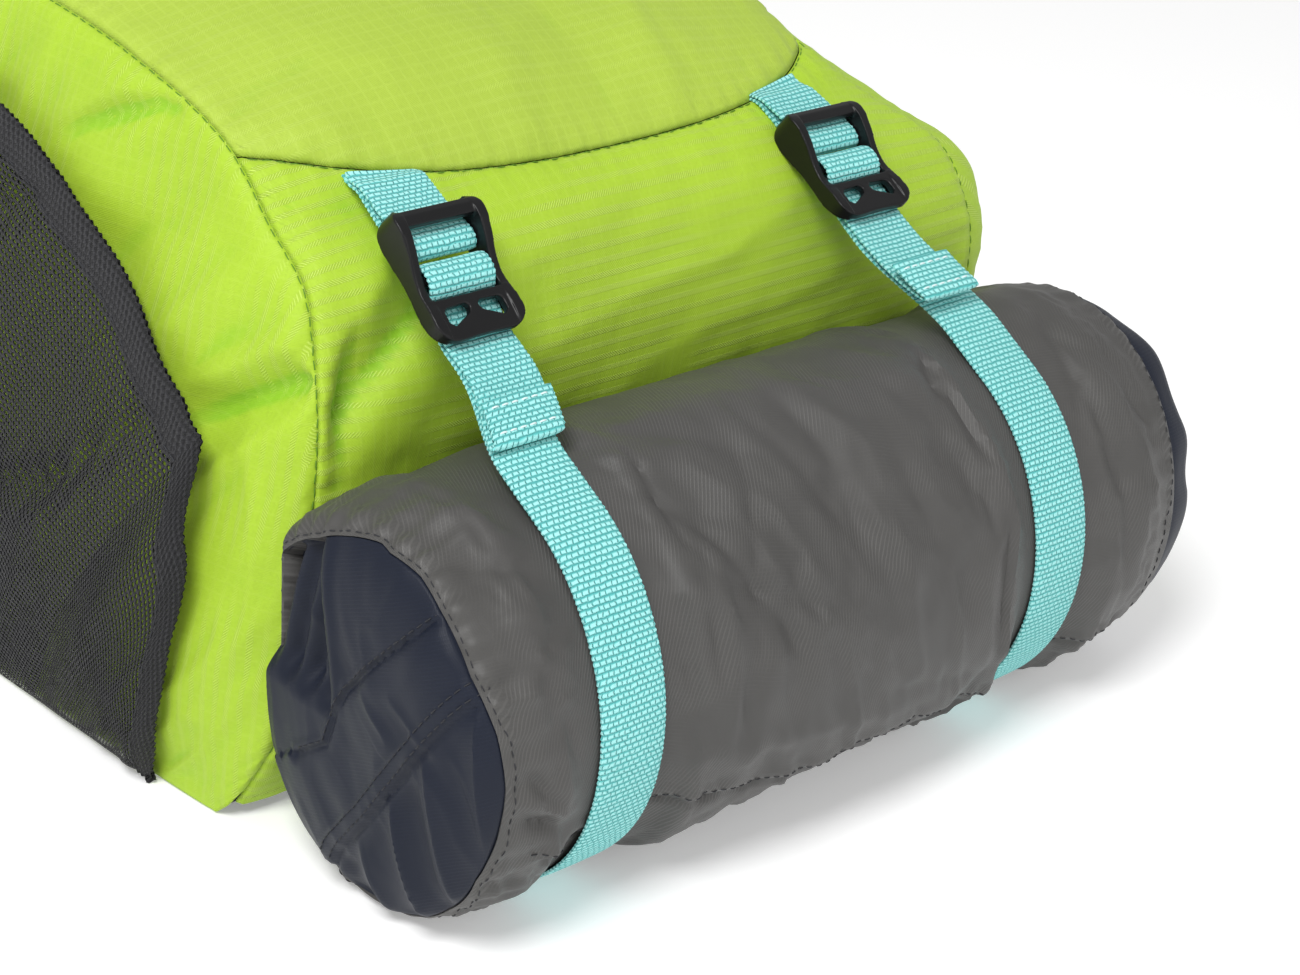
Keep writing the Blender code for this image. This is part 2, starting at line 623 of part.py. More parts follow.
def lashing(row):
    side = row[0]
    root, at_buckle, at_roll = [share * BAG_HALF_BACK for share in row[1:4]]
    # tab: from the front seam under the top bar, round the tab bar and back
    seam = tab_seam(row)
    lower = WEB / 2 + 2 * GAP + TAB_LIFT
    out = np.array([-math.sin(math.pi / 4), math.cos(math.pi / 4)])
    start_low = seam[1:] + out * lower
    start_high = seam[1:] + out * (lower + WEB + 2 * GAP)
    bend = in_place(arc(BAR_TAB, TURN, 90.0, -90.0, 9), row)
    loop = np.vstack([start_high[None, :], bend, start_low[None, :]])
    loop = thinned(loop, WEB_WIDTH * 0.6)
    share = np.clip(np.hypot(loop[:, 0] - seam[1], loop[:, 1] - seam[2]) / TAB_SWING, 0.0, 1.0)
    xs = root + (at_buckle - root) * share
    ribbon(f"buckle_tab_{side}", np.column_stack([xs, loop]), WEB_WIDTH, WEB, TEAL)

    # lashing strap: under the roll, over its front, to the buckle, round the middle bar, and the tail
    angles = -45.0 - np.arange(0, 18) * 360.0 / ROLL_SIDES
    spread = at_roll + np.array([-0.5, 0.0, 0.5])[:, None] * WEB_WIDTH
    y, z = pressed(*roll_section(spread, angles[None, :]))
    widest = np.argmax(np.hypot(y, z - ROLL_HALF_HEIGHT), axis=0)
    pick = np.arange(len(angles))
    ring = np.column_stack([y[widest, pick], z[widest, pick]])
    slope = np.gradient(ring, axis=0)
    slope /= np.linalg.norm(slope, axis=1, keepdims=True)
    off = np.column_stack([-slope[:, 1], slope[:, 0]])
    centre = np.array([0.0, ROLL_HALF_HEIGHT])
    off *= np.sign(np.sum(off * (ring - centre), axis=1, keepdims=True))
    wrap = ring + off * (WEB / 2 + STRAP_CLEAR)
    wrap[:, 1] = np.maximum(wrap[:, 1], WEB / 2)
    behind = ROLL_BACK_Y + WEB / 2 + GAP * 2
    riser = np.array([[behind, STRAP_ROOT_HIGH], [behind, STRAP_ROOT_LOW]])
    lip_end = LIP_START + 0.30 * BUCKLE_LENGTH
    under = in_place(np.array([[lip_end, 0.0], [LIP_START - 0.115 * BUCKLE_LENGTH, 0.0]]), row)
    window = in_place(arc(BAR_MIDDLE, TURN, -90.0 - 60.0, -360.0 + 50.0, 12), row)
    out_low = WEB + GAP * 1.5
    leave = in_place(np.array([[LIP_START + STRAP_BEND, out_low + GAP], [lip_end, out_low]]), row)
    # where the taut webbing touches the roll
    target = under[0]
    reach = [np.dot(target - p, n) for p, n in zip(wrap, off)]
    last = next((i for i, r in enumerate(reach) if r > 0), len(wrap) - 1)
    wrap = wrap[: last + 1]
    load = np.vstack([riser, wrap, under])
    flight = target - wrap[-1]
    flight_length = np.linalg.norm(flight)
    flight = flight / flight_length
    normal = np.array([-flight[1], flight[0]])
    if normal[1] < 0:
        normal = -normal
    lift = TAIL_LIFT_LEFT if side == "left" else TAIL_LIFT_RIGHT
    base = target + normal * out_low
    tail = []
    for share in np.linspace(0.1, 1.0, 8):
        tail.append(base - flight * TAIL_LENGTH * share + normal * lift * share**2)
    end = np.array(tail[-1])
    top = normal * (WEB + GAP)
    turn_back = [end - flight * WEB * 0.67 + top / 2, end + top, end + top + flight * TAIL_HEM]
    path = np.vstack([load, window, leave, np.array(tail), np.array(turn_back)])
    path = thinned(path, WEB_WIDTH * 0.8)
    climb = target[1] - wrap[-1][1] - 1.4 * STRAP_SWING
    share = np.clip((path[:, 1] - wrap[-1][1] - STRAP_SWING) / climb, 0.0, 1.0)
    xs = at_roll + (at_buckle - at_roll) * smooth(share)
    ribbon(f"lashing_strap_{side}", np.column_stack([xs, path]), WEB_WIDTH, WEB, TEAL)
    buckle(f"buckle_{side}", row)


def prism(outline_points, low, high):
    """A closed prism: points in (along, up), swept across from low to high."""
    count = len(outline_points)
    points = [(low, a, u) for a, u in outline_points] + [(high, a, u) for a, u in outline_points]
    faces = [tuple(range(count)), tuple(range(2 * count - 1, count - 1, -1))]
    for j in range(count):
        k = (j + 1) % count
        faces.append((k, j, count + j, count + k))
    return np.array(points), faces


def helper(points, faces):
    if volume_of(points, faces) < 0:
        faces = [tuple(reversed(face)) for face in faces]
    mesh = bpy.data.meshes.new("helper")
    mesh.from_pydata([tuple(map(float, p)) for p in points], [], faces)
    made = bpy.data.objects.new("helper", mesh)
    bpy.context.scene.collection.objects.link(made)
    return made


def joined(name, pieces, cuts, mat, matrix):
    """One solid from the union of the pieces less the cuts, set in place by the matrix."""
    base = pieces[0]
    for piece, operation in [(p, "UNION") for p in pieces[1:]] + [(c, "DIFFERENCE") for c in cuts]:
        step = base.modifiers.new("step", "BOOLEAN")
        step.operation = operation
        step.solver = "EXACT"
        step.object = piece
    bpy.context.view_layer.update()
    graph = bpy.context.evaluated_depsgraph_get()
    mesh = bpy.data.meshes.new_from_object(base.evaluated_get(graph))
    for piece in pieces + cuts:
        bpy.data.objects.remove(piece, do_unlink=True)
    work = bmesh.new()
    work.from_mesh(mesh)
    bmesh.ops.remove_doubles(work, verts=work.verts, dist=2e-6)
    bmesh.ops.transform(work, matrix=matrix, verts=work.verts)
    bmesh.ops.recalc_face_normals(work, faces=work.faces)
    work.to_mesh(mesh)
    work.free()
    mesh.name = name
    mesh.materials.clear()
    mesh.materials.append(mat)
    mesh.shade_smooth()
    mesh.set_sharp_from_angle(angle=math.radians(35.0))
    made = bpy.data.objects.new(name, mesh)
    bpy.context.scene.collection.objects.link(made)
    return made


def buckle(name, row):
    """Ladder lock: two wavy cheeks, a top bar, the bars for tab and strap, and a lip with two holes."""
    across = row[2] * BAG_HALF_BACK
    along, up = buckle_start(row)
    half = BUCKLE_WIDTH / 2
    inner = half - BUCKLE_CHEEK
    cheek = spline(CHEEK, 13) * BUCKLE_LENGTH
    ring = [(p[0], p[2]) for p in cheek] + [(p[0], p[1]) for p in cheek[::-1]]
    pieces = [helper(*prism(ring, -half, -inner)), helper(*prism(ring, inner, half))]
    over = BUCKLE_CHEEK / 2
    top = BUCKLE_LENGTH * np.array(TOP_BAR)
    pieces.append(helper(*prism(top, -inner - over, inner + over)))
    for centre in (BAR_TAB, BAR_MIDDLE):
        bar = arc(centre, BUCKLE_BAR / 2, 0.0, 315.0, 8)
        pieces.append(helper(*prism(bar, -inner - over, inner + over)))
    low, high = LIP_HEIGHT - LIP_THICKNESS / 2, LIP_HEIGHT + LIP_THICKNESS / 2
    lip = [
        (LIP_START, low),
        (BUCKLE_LENGTH * 0.95, low + LIP_RISE),
        (BUCKLE_LENGTH * 0.95, high + LIP_RISE),
        (LIP_START, high),
    ]
    pieces.append(helper(*prism(lip, -inner - over, inner + over)))
    cuts = []
    for hand in (-1, 1):
        hole = [(hand * x * BUCKLE_LENGTH, LIP_START + a * BUCKLE_LENGTH) for x, a in LIP_HOLE]
        deep = 3 * LIP_THICKNESS
        points = [(x, a, LIP_HEIGHT - deep) for x, a in hole]
        points += [(x, a, LIP_HEIGHT + deep) for x, a in hole]
        count = len(hole)
        faces = [tuple(range(count)), tuple(range(2 * count - 1, count - 1, -1))]
        faces += [((j + 1) % count, j, count + j, count + (j + 1) % count) for j in range(count)]
        cuts.append(helper(np.array(points), faces))
    t = math.radians(row[6])
    matrix = Matrix(
        (
            (1.0, 0.0, 0.0, across),
            (0.0, -math.cos(t), -math.sin(t), along),
            (0.0, -math.sin(t), math.cos(t), up),
            (0.0, 0.0, 0.0, 1.0),
        )
    )
    joined(name, pieces, cuts, BLACK, matrix)


def harness():
    low = PAD_THICKNESS / 2
    for name, side in (("left", -1), ("right", 1)):
        rows = spline(SHOULDER, 14)
        ys = BAG_BOTTOM_Y + rows[:, 0] * BAG_LENGTH
        xs = side * rows[:, 1] * BAG_HALF_BACK
        wide = rows[:, 2] * PAD_WIDTH / 2
        rises = np.clip(rows[:, 3], 0.0, 1.0) * (BACK_EDGE_Z + BACK_ARCH - PAD_THICKNESS - 2 * GAP)
        rings = []
        for x, y, w, rise in zip(xs, ys, wide, rises):
            ring = []
            for u, v in PAD_SECTION:
                ring.append((x + u * w, y, low + rise + v * PAD_THICKNESS / 2))
            rings.append(ring)
        loft(f"shoulder_strap_{name}", np.array(rings), DARK)
        end = np.array([xs[-1], ys[-1] - WEB_WIDTH / 8])
        foot = np.array([side * SHOULDER_FOOT, BAG_BOTTOM_Y + SHOULDER_FOOT_SHARE * BAG_LENGTH])
        way = foot - end
        length = np.linalg.norm(way)
        slant = math.atan2(way[1], way[0]) + math.pi / 2
        middle = ADJUSTER_SHARE * length
        far = ADJUSTER_SLOT - WEB * 0.83
        near = ADJUSTER_BAR + WEB * 0.67
        foot_share = SHOULDER_FOOT_SHARE - OUTLINE[0][0]
        outer_edge = (SHOULDER_FOOT + WEB_WIDTH / 2) / BAG_HALF_BACK
        foot_z = back_height(foot_share, outer_edge) - WEB / 2 - 6 * GAP
        over = ADJUSTER_LOW + ADJUSTER_THICKNESS + WEB / 2 + 2 * GAP
        stops = []
        for along, z in (
            (0.0, SHOULDER_WEB_Z),
            (middle - far, SHOULDER_WEB_Z),
            (middle - near, over),
            (middle + near, over),
            (middle + far, SHOULDER_WEB_Z),
            (length - WEB_WIDTH, SHOULDER_WEB_Z),
            (length - WEB_WIDTH * 0.2, foot_z),
            (length, foot_z),
        ):
            p = end + way * along / length
            stops.append((p[0], p[1], z))
        ribbon(f"shoulder_webbing_{name}", np.array(stops), WEB_WIDTH, WEB, TEAL, slant)
        adjuster(f"shoulder_adjuster_{name}", end + way * middle / length, slant)


def block(x0, x1, y0, y1, z0, z1):
    points, faces = prism([(y0, z0), (y1, z0), (y1, z1), (y0, z1)], x0, x1)
    return helper(points, faces)


def adjuster(name, spot, slant):
    """Plain slide on the shoulder webbing: a flat frame with two slots."""
    w, l, t = ADJUSTER_HALF_WIDTH, ADJUSTER_HALF_LENGTH, ADJUSTER_THICKNESS
    inner = WEB_WIDTH / 2 + 2 * GAP
    frame = block(-w, w, -l, l, 0.0, t)
    slots = [
        block(-inner, inner, ADJUSTER_BAR, ADJUSTER_SLOT, -t, 2 * t),
        block(-inner, inner, -ADJUSTER_SLOT, -ADJUSTER_BAR, -t, 2 * t),
    ]
    matrix = Matrix.Translation(Vector((spot[0], spot[1], ADJUSTER_LOW))) @ Matrix.Rotation(slant, 4, "Z")
    joined(name, [frame], slots, BLACK, matrix)


def haul_loop():
    t = np.radians(np.linspace(0.0, 180.0, 15))
    way = np.linspace(0.90, 0.99, 60)
    sewn = strip_point(way, np.array(LOOP_HALF / BAG_HALF_BACK), WALL + GAP + LID_STAND)
    beside = (sewn[:, 2] > LOOP_Z) & (sewn[:, 2] < LOOP_Z + WEB_WIDTH)
    base = float(sewn[beside, 1].max()) + GAP / 2
    xs = LOOP_HALF * np.cos(t)
    ys = base + (LOOP_RISE - WEB * 2) * np.sin(t)
    rows = [np.column_stack([xs, ys, np.full_like(xs, z)]) for z in (LOOP_Z, LOOP_Z + WEB_WIDTH)]
    grid = np.stack(rows, axis=1)
    sheet("haul_loop", grid, WEB, TEAL, (0, 1, 0))


def centre_pieces():
    """Moves all the pieces together, so that their bounding box stands centred on the origin."""
    pieces = list(bpy.context.scene.collection.objects)
    points = np.array([tuple(v.co) for piece in pieces for v in piece.data.vertices])
    low, high = points.min(axis=0), points.max(axis=0)
    for piece in pieces:
        piece.location = (-(low[0] + high[0]) / 2, -(low[1] + high[1]) / 2, -low[2])


bag_panels()
for pocket_name, pocket_side in (("left", -1), ("right", 1)):
    sheet(f"side_pocket_{pocket_name}", pocket_grid(pocket_side), MESH_WALL, MESH, (pocket_side, 0, 0))
roll()
for lashing_row in LASHINGS:
    lashing(lashing_row)
harness()
haul_loop()
centre_pieces()
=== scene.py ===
"""Hiking backpack lying on its back with a gear roll lashed under its base: its shapes and finishes.

Metres, +Z up. Pieces are worked out round the roll's axis on the floor, as the solids are, and
ROW_SHIFT then sets them into the row frame.
"""

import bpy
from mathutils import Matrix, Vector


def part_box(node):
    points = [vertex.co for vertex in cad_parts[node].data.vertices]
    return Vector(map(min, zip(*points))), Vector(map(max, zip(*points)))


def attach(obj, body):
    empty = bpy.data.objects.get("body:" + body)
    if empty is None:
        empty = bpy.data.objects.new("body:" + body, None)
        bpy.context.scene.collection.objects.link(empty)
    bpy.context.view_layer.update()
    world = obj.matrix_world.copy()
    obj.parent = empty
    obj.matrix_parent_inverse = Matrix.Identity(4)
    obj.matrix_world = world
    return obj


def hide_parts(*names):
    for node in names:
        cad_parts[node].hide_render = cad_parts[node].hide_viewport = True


bl_info = {
    "name": "Hiking Backpack Looks",
    "version": (1, 0, 0),
    "blender": (4, 5, 0),
    "location": "3D View > Sidebar > Pack",
    "description": "Cloth, mesh, webbing and moulded pieces of a hiking backpack, built round its solids",
    "category": "Object",
}

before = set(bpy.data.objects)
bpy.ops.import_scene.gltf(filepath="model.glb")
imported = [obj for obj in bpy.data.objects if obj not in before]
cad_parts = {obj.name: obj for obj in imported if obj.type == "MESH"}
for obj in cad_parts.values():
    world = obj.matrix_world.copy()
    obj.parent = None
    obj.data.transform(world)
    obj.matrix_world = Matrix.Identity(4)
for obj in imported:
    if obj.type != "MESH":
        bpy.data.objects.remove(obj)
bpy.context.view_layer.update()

import math
from collections import namedtuple

import bmesh
import bpy
import numpy as np
from bpy.props import FloatProperty, FloatVectorProperty, PointerProperty
from bpy.types import Operator, Panel, PropertyGroup
from mathutils import Matrix, Vector

MM = 0.001

# Cloth and webbing of the solids, in metres
WALL = 0.0015
MESH_WALL = 0.0012
WEB = 0.0012
WEB_WIDTH = 0.020
GAP = 0.0003

# The bag, measured from the plane of its bottom
BAG_LENGTH = 0.450
BAG_DEPTH = 0.186
BAG_HALF_BACK = 0.133
BAG_CROWN = 0.014
BAG_BOTTOM_Y = 0.035
BACK_EDGE_Z = 0.0005
BACK_ARCH = 0.014
SIDE_BULGE_LEFT = 0.008
SIDE_BULGE_RIGHT = 0.012
LID_STAND = 0.0006
FRONT_SEAM_SHARE = 0.216
FRONT_SEAM_CORNER_SHARE = 0.250
TAB_SEAM_SHARE = 0.004
LID_SEAM_SHARE = 0.770
LID_OVERLAP_SHARE = 0.030

# Outline of the bag seen from the side, from its lower back edge up the bottom, round the front and
# over the top end. Columns: along, up, left, right, crown
OUTLINE = (
    (0.027, 0.006, 0.917, 0.917, 0.00),
    (0.004, 0.134, 0.872, 0.917, 0.00),
    (0.000, 0.242, 0.842, 0.947, -0.10),
    (0.006, 0.403, 0.805, 0.985, -0.15),
    (0.011, 0.538, 0.782, 1.015, 0.10),
    (0.020, 0.626, 0.767, 1.023, 0.35),
    (0.042, 0.731, 0.741, 0.977, 0.60),
    (0.076, 0.796, 0.737, 0.857, 0.70),
    (0.122, 0.882, 0.737, 0.737, 0.75),
    (0.189, 0.941, 0.759, 0.752, 0.80),
    (0.278, 0.978, 0.782, 0.782, 0.95),
    (0.444, 1.000, 0.805, 0.805, 1.00),
    (0.667, 0.989, 0.805, 0.805, 1.00),
    (0.867, 0.925, 0.782, 0.782, 0.90),
    (0.956, 0.806, 0.774, 0.774, 0.70),
    (0.993, 0.591, 0.797, 0.797, 0.50),
    (1.000, 0.323, 0.842, 0.842, 0.40),
    (0.978, 0.006, 0.887, 0.887, 0.00),
)

# Half width of the front at its lower seam, in shares of the back's half width
FRONT_HALF = OUTLINE[8][2]

# Free hem of a side pocket. Columns: round, down, stand
POCKET_HEM = (
    (0.060, 0.990, 0.10),
    (0.085, 0.640, 0.35),
    (0.120, 0.400, 0.60),
    (0.165, 0.245, 1.00),
    (0.215, 0.235, 0.80),
    (0.280, 0.200, 0.60),
    (0.380, 0.130, 0.50),
    (0.520, 0.140, 0.50),
    (0.620, 0.300, 0.45),
    (0.690, 0.600, 0.35),
    (0.720, 0.980, 0.10),
)
POCKET_STAND = 0.007
POCKET_PUFF = 0.0092
POCKET_NARROWEST = 0.985

# The roll
ROLL_LEFT_X = -0.1120
ROLL_RIGHT_X = 0.1282
ROLL_HALF_DEPTH = 0.0479
ROLL_HALF_HEIGHT = 0.0547
ROLL_TILT = math.radians(-10.0)
STRAP_CLEAR = 0.00066
ROLL_FLOOR = WEB + STRAP_CLEAR
ROLL_BACK_Y = BAG_BOTTOM_Y - WEB - 3 * GAP
ROLL_END_RISE_LEFT = 0.012
ROLL_END_RISE_RIGHT = 0.016
STRAP_DENT = 0.0022
STRAP_DENT_EDGE = 0.0115
STRAP_DENT_FADE = 0.012

# Columns: way, size, top, forward
ROLL_SECTIONS = (
    (0.00, 0.990, 0.880, 0.00),
    (0.07, 1.010, 0.930, 0.00),
    (0.18, 1.000, 1.000, 0.00),
    (0.50, 1.015, 1.000, 0.02),
    (0.84, 1.000, 1.000, 0.00),
    (0.94, 0.995, 1.000, 0.00),
    (1.00, 0.950, 1.000, 0.00),
)

# Broad folds and one swell of the roll. Columns: way, round, length, spread, depth
ROLL_FOLDS = (
    (0.55, 222.0, 0.90, 34.0, -0.060),
    (0.50, 238.0, 0.95, 7.0, 0.035),
    (0.60, 165.0, 0.16, 14.0, 0.030),
    (0.33, 150.0, 0.14, 12.0, 0.025),
    (0.74, 135.0, 0.12, 12.0, 0.025),
    (0.93, 160.0, 0.10, 14.0, 0.030),
    (0.07, 175.0, 0.08, 12.0, 0.030),
)

# Lashing straps. Root, buckle and roll are places across, in shares of the back's half width. Forward and
# below set the buckle off from the front seam, in buckle lengths, and fall is its tilt in degrees.
Lashing = namedtuple("Lashing", "side root buckle roll forward below fall")
LASHINGS = (
    Lashing("left", -0.500, -0.515, -0.568, 0.402, 0.055, 44.0),
    Lashing("right", 0.526, 0.538, 0.598, 0.253, 0.087, 34.0),
)
TAB_LIFT = 0.0016
TAB_LEAN = 0.20
TAB_DROP = 0.0018
TAB_SWING = 0.008
STRAP_ROOT_HIGH = 0.040
STRAP_ROOT_LOW = 0.016
STRAP_SWING = 0.007
TAIL_LENGTH = 0.031
TAIL_HEM = 0.012
TAIL_LIFT_LEFT = 0.0004
TAIL_LIFT_RIGHT = 0.0040
TAIL_SWAY = 0.0012
TAIL_SPREAD = 0.07

# Ladder lock
BUCKLE_WIDTH = 0.0270
BUCKLE_LENGTH = 0.0350
BUCKLE_CHEEK = 0.0030
BUCKLE_BAR = 0.0026
BUCKLE_TOP_CORNER = 0.0044
BUCKLE_LOW_CORNER = 0.0052
BUCKLE_WAIST = 0.0007
LIP_THICKNESS = 0.0022
LIP_RISE = 0.0004
# Columns: along, low, high
CHEEK = (
    (0.000, 0.06, 0.18),
    (0.060, 0.00, 0.25),
    (0.180, -0.03, 0.27),
    (0.330, -0.02, 0.23),
    (0.480, 0.00, 0.17),
    (0.620, 0.01, 0.15),
    (0.760, 0.02, 0.18),
    (0.900, 0.065, 0.192),
    (1.000, 0.100, 0.178),
)
# Columns: along, up
TOP_BAR = ((0.03, 0.16), (0.03, 0.23), (0.08, 0.255), (0.15, 0.25), (0.16, 0.20), (0.12, 0.165))
# Columns: across, along
LIP_HOLE = (
    (0.228, 0.070),
    (0.252, 0.094),
    (0.256, 0.180),
    (0.214, 0.212),
    (0.060, 0.140),
    (0.036, 0.096),
    (0.062, 0.062),
)
BAR_TAB = (0.240 * BUCKLE_LENGTH, 0.085 * BUCKLE_LENGTH)
BAR_MIDDLE = (0.520 * BUCKLE_LENGTH, 0.115 * BUCKLE_LENGTH)
LIP_START = 0.680 * BUCKLE_LENGTH
LIP_HEIGHT = 0.135 * BUCKLE_LENGTH
TURN = BUCKLE_BAR / 2 + WEB / 2 + GAP
LOOP_STRETCH = 1.75

# Harness under the pack
PAD_WIDTH = 0.055
PAD_THICKNESS = 0.008
ADJUSTER_HALF_LENGTH = 0.0105
ADJUSTER_HALF_WIDTH = 0.0130
ADJUSTER_SLOT = 0.0078
ADJUSTER_BAR = 0.0018
ADJUSTER_THICKNESS = 0.0020
ADJUSTER_LOW = 0.0044
ADJUSTER_SHARE = 0.40
SHOULDER_WEB_Z = 0.0034
LOOP_HALF = 0.035
LOOP_RISE = 0.022
LOOP_Z = 0.030
# Columns: along, across, width, rise
SHOULDER = (
    (0.870, 0.300, 0.85, 1.00),
    (0.800, 0.360, 1.00, 0.45),
    (0.650, 0.470, 1.05, 0.00),
    (0.500, 0.560, 1.00, 0.00),
    (0.380, 0.600, 0.70, 0.00),
)
SHOULDER_FOOT = 0.086
SHOULDER_FOOT_SHARE = 0.105

# The camera of the photograph, in degrees, metres and millimetres
CAMERA_TURN = 45.146
CAMERA_FALL = 26.135
CAMERA_ROLL = -5.519
CAMERA_PLACE = (-0.47116, -0.43826, 0.39381)
CAMERA_LENS = 77.13
CAMERA_SENSOR = 36.0


SPLINE_STEPS = 24


def smooth(x):
    x = np.clip(x, 0.0, 1.0)
    return x * x * (3 - 2 * x)


def bell(x, spread, power=2):
    """1 where x is 0, falling to 0 on both sides over the spread."""
    return np.exp(-((x / spread) ** power))


def joined(*parts):
    """Coordinates set side by side, each spread to the shape of them all."""
    return np.stack(np.broadcast_arrays(*parts), axis=-1)


def square_to(slope):
    """The directions of a line, turned a quarter round in their plane."""
    return np.column_stack([-slope[:, 1], slope[:, 0]])


def travel(points):
    """Distance along a line of points, from 0 at its start."""
    return np.concatenate([[0.0], np.cumsum(np.linalg.norm(np.diff(points, axis=0), axis=1))])


def read_off(spots, way, points):
    """Points of a line at the given distances along it."""
    return np.column_stack([np.interp(spots, way, column) for column in np.transpose(points)])


def directions(points):
    """Unit vectors along a line of points."""
    slope = np.gradient(points, axis=0)
    return slope / np.linalg.norm(slope, axis=1, keepdims=True)


def spline(rows, count):
    """Catmull-Rom through the rows, evenly spread by the length of the first two columns."""
    rows = np.asarray(rows, float)
    ends = np.vstack([2 * rows[0] - rows[1], rows, 2 * rows[-1] - rows[-2]])
    fine = []
    for i in range(1, len(ends) - 2):
        a, b, c, d = ends[i - 1 : i + 3]
        bend = 2 * a - 5 * b + 4 * c - d
        twist = 3 * b - a - 3 * c + d
        for t in np.linspace(0.0, 1.0, SPLINE_STEPS, endpoint=False):
            fine.append(b + 0.5 * ((c - a) * t + bend * t**2 + twist * t**3))
    fine.append(rows[-1])
    fine = np.array(fine)
    steps = np.hypot(np.diff(fine[:, 0]), np.diff(fine[:, 1]))
    way = np.concatenate([[0.0], np.cumsum(steps)])
    return read_off(np.linspace(0.0, way[-1], count), way, fine)


OUTLINE_SIZES = np.array([BAG_LENGTH, BAG_DEPTH, BAG_HALF_BACK, BAG_HALF_BACK, BAG_CROWN])
FINE = spline(np.array(OUTLINE) * OUTLINE_SIZES, 401)
FINE_SHARE = np.linspace(0.0, 1.0, len(FINE))
FINE_SLOPE = directions(FINE[:, :2])
OUTLINE_LENGTH = float(np.sum(np.hypot(np.diff(FINE[:, 0]), np.diff(FINE[:, 1]))))


def outline(s):
    return [np.interp(s, FINE_SHARE, FINE[:, k]) for k in range(5)]


def outline_slope(s):
    return [np.interp(s, FINE_SHARE, FINE_SLOPE[:, k]) for k in (0, 1)]


def outward(s, c):
    """Unit vectors square to the outline at share s round it, spread over c."""
    slope = outline_slope(s)
    return joined(0.0 * c * s, -slope[1] + 0 * c, slope[0] + 0 * c)


def strip_point(s, c, lift=0.0):
    """The strip that makes the bag's bottom, front and top, at share s round it and c across, -1 to 1."""
    along, up, left, right, crown = outline(s)
    half = np.where(np.asarray(c) < 0, left, right)
    slope = outline_slope(s)
    out = crown * (1 - np.abs(c) ** 3) + lift
    y = BAG_BOTTOM_Y + along - slope[1] * out
    z = up + slope[0] * out
    return joined(c * (half + lift * 0.5), y, z)


def back_half(share):
    """Half width of the back at a share along it."""
    ends = np.interp(share, (0.0, 1.0), (OUTLINE[0][2], OUTLINE[-1][2]))
    return BAG_HALF_BACK * (ends + (1 - ends) * np.sin(math.pi * share) ** 0.7)


def back_y(share):
    """Place along the pack of a share along the back."""
    low = BAG_BOTTOM_Y + OUTLINE[0][0] * BAG_LENGTH
    high = BAG_BOTTOM_Y + OUTLINE[-1][0] * BAG_LENGTH
    return low + (high - low) * share


def side_point(side, a, b, lift=0.0):
    """A side panel at share a round the side seam and b from that seam to the back edge."""
    along, up, left, right, _ = outline(a)
    half = left if side < 0 else right
    bulge = SIDE_BULGE_LEFT if side < 0 else SIDE_BULGE_RIGHT
    swell = bulge * np.sin(math.pi * b) * smooth(a * 9) * smooth((1 - a) * 9) + lift
    x = half + (back_half(a) - half) * b + swell
    y = BAG_BOTTOM_Y + along + (back_y(a) - BAG_BOTTOM_Y - along) * b
    z = up + (BACK_EDGE_Z - up) * b
    return joined(side * x, y, z)


def side_reach(a):
    """Distance from the side seam to the back edge."""
    along, up = outline(a)[:2]
    return np.hypot(back_y(a) - BAG_BOTTOM_Y - along, BACK_EDGE_Z - up)


def back_height(v, c):
    """Height of the arched back at share v along it and c across, -1 to 1."""
    return BACK_EDGE_Z + BACK_ARCH * (1 - c**6) * smooth(v * 14) * smooth((1 - v) * 14)


def front_seam(c):
    """Share round the outline where the seam across the front runs, at c across."""
    rise = FRONT_SEAM_CORNER_SHARE - FRONT_SEAM_SHARE
    return FRONT_SEAM_SHARE + rise * np.abs(c) ** 2.5


def roll_size(way):
    """Size, flatness of the top and forward lean of the roll at a share along it."""
    rows = np.array(ROLL_SECTIONS)
    return [np.interp(way, rows[:, 0], rows[:, k]) for k in (1, 2, 3)]


def strap_hold(x):
    """How firmly a lashing strap holds the roll at x: 1 under it and 0 away from it."""
    total = np.zeros_like(np.asarray(x, float))
    for row in LASHINGS:
        away = np.abs(x - row.roll * BAG_HALF_BACK) - STRAP_DENT_EDGE
        total = total + 1 - smooth(away / STRAP_DENT_FADE)
    return total


def roll_section(x, angle, inset=0.0):
    """(y, z) on the roll at x, with the angle in degrees from +Y over the top."""
    x = np.asarray(x, float)
    way = np.clip((x - ROLL_LEFT_X) / (ROLL_RIGHT_X - ROLL_LEFT_X), 0.0, 1.0)
    size, top, forward = roll_size(way)
    t = np.radians(angle)
    folds = 0.0
    for f_way, f_round, f_length, f_spread, f_depth in ROLL_FOLDS:
        turn = (angle - f_round + 180.0) % 360.0 - 180.0
        near = bell(turn, f_spread) * bell(way - f_way, f_length / 2, 4)
        folds = folds + f_depth * near
    hold = strap_hold(x)
    cut = inset + STRAP_DENT * hold + folds * ROLL_HALF_DEPTH * (1 - hold)
    deep = ROLL_HALF_DEPTH * size - cut
    high = ROLL_HALF_HEIGHT * size - cut
    y = deep * np.cos(t)
    z = high * np.sin(t) * np.where(np.sin(t) > 0, top, 1.0)
    spin_y = y * math.cos(ROLL_TILT) - z * math.sin(ROLL_TILT)
    spin_z = y * math.sin(ROLL_TILT) + z * math.cos(ROLL_TILT)
    return spin_y - forward * ROLL_HALF_DEPTH, spin_z + ROLL_HALF_HEIGHT


def pressed(y, z):
    """The roll's (y, z) held off the bag's bottom and the straps on the floor."""
    return np.minimum(y, ROLL_BACK_Y), np.maximum(z, ROLL_FLOOR)


def row_shift():
    """From the roll's frame to the row frame, read off the haul loop and the back panel."""
    loop_low, loop_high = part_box("haul_loop")
    return np.array([(loop_low.x + loop_high.x) / 2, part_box("back_panel")[1].y - back_y(0.988), 0.0])


ROW_SHIFT = row_shift()


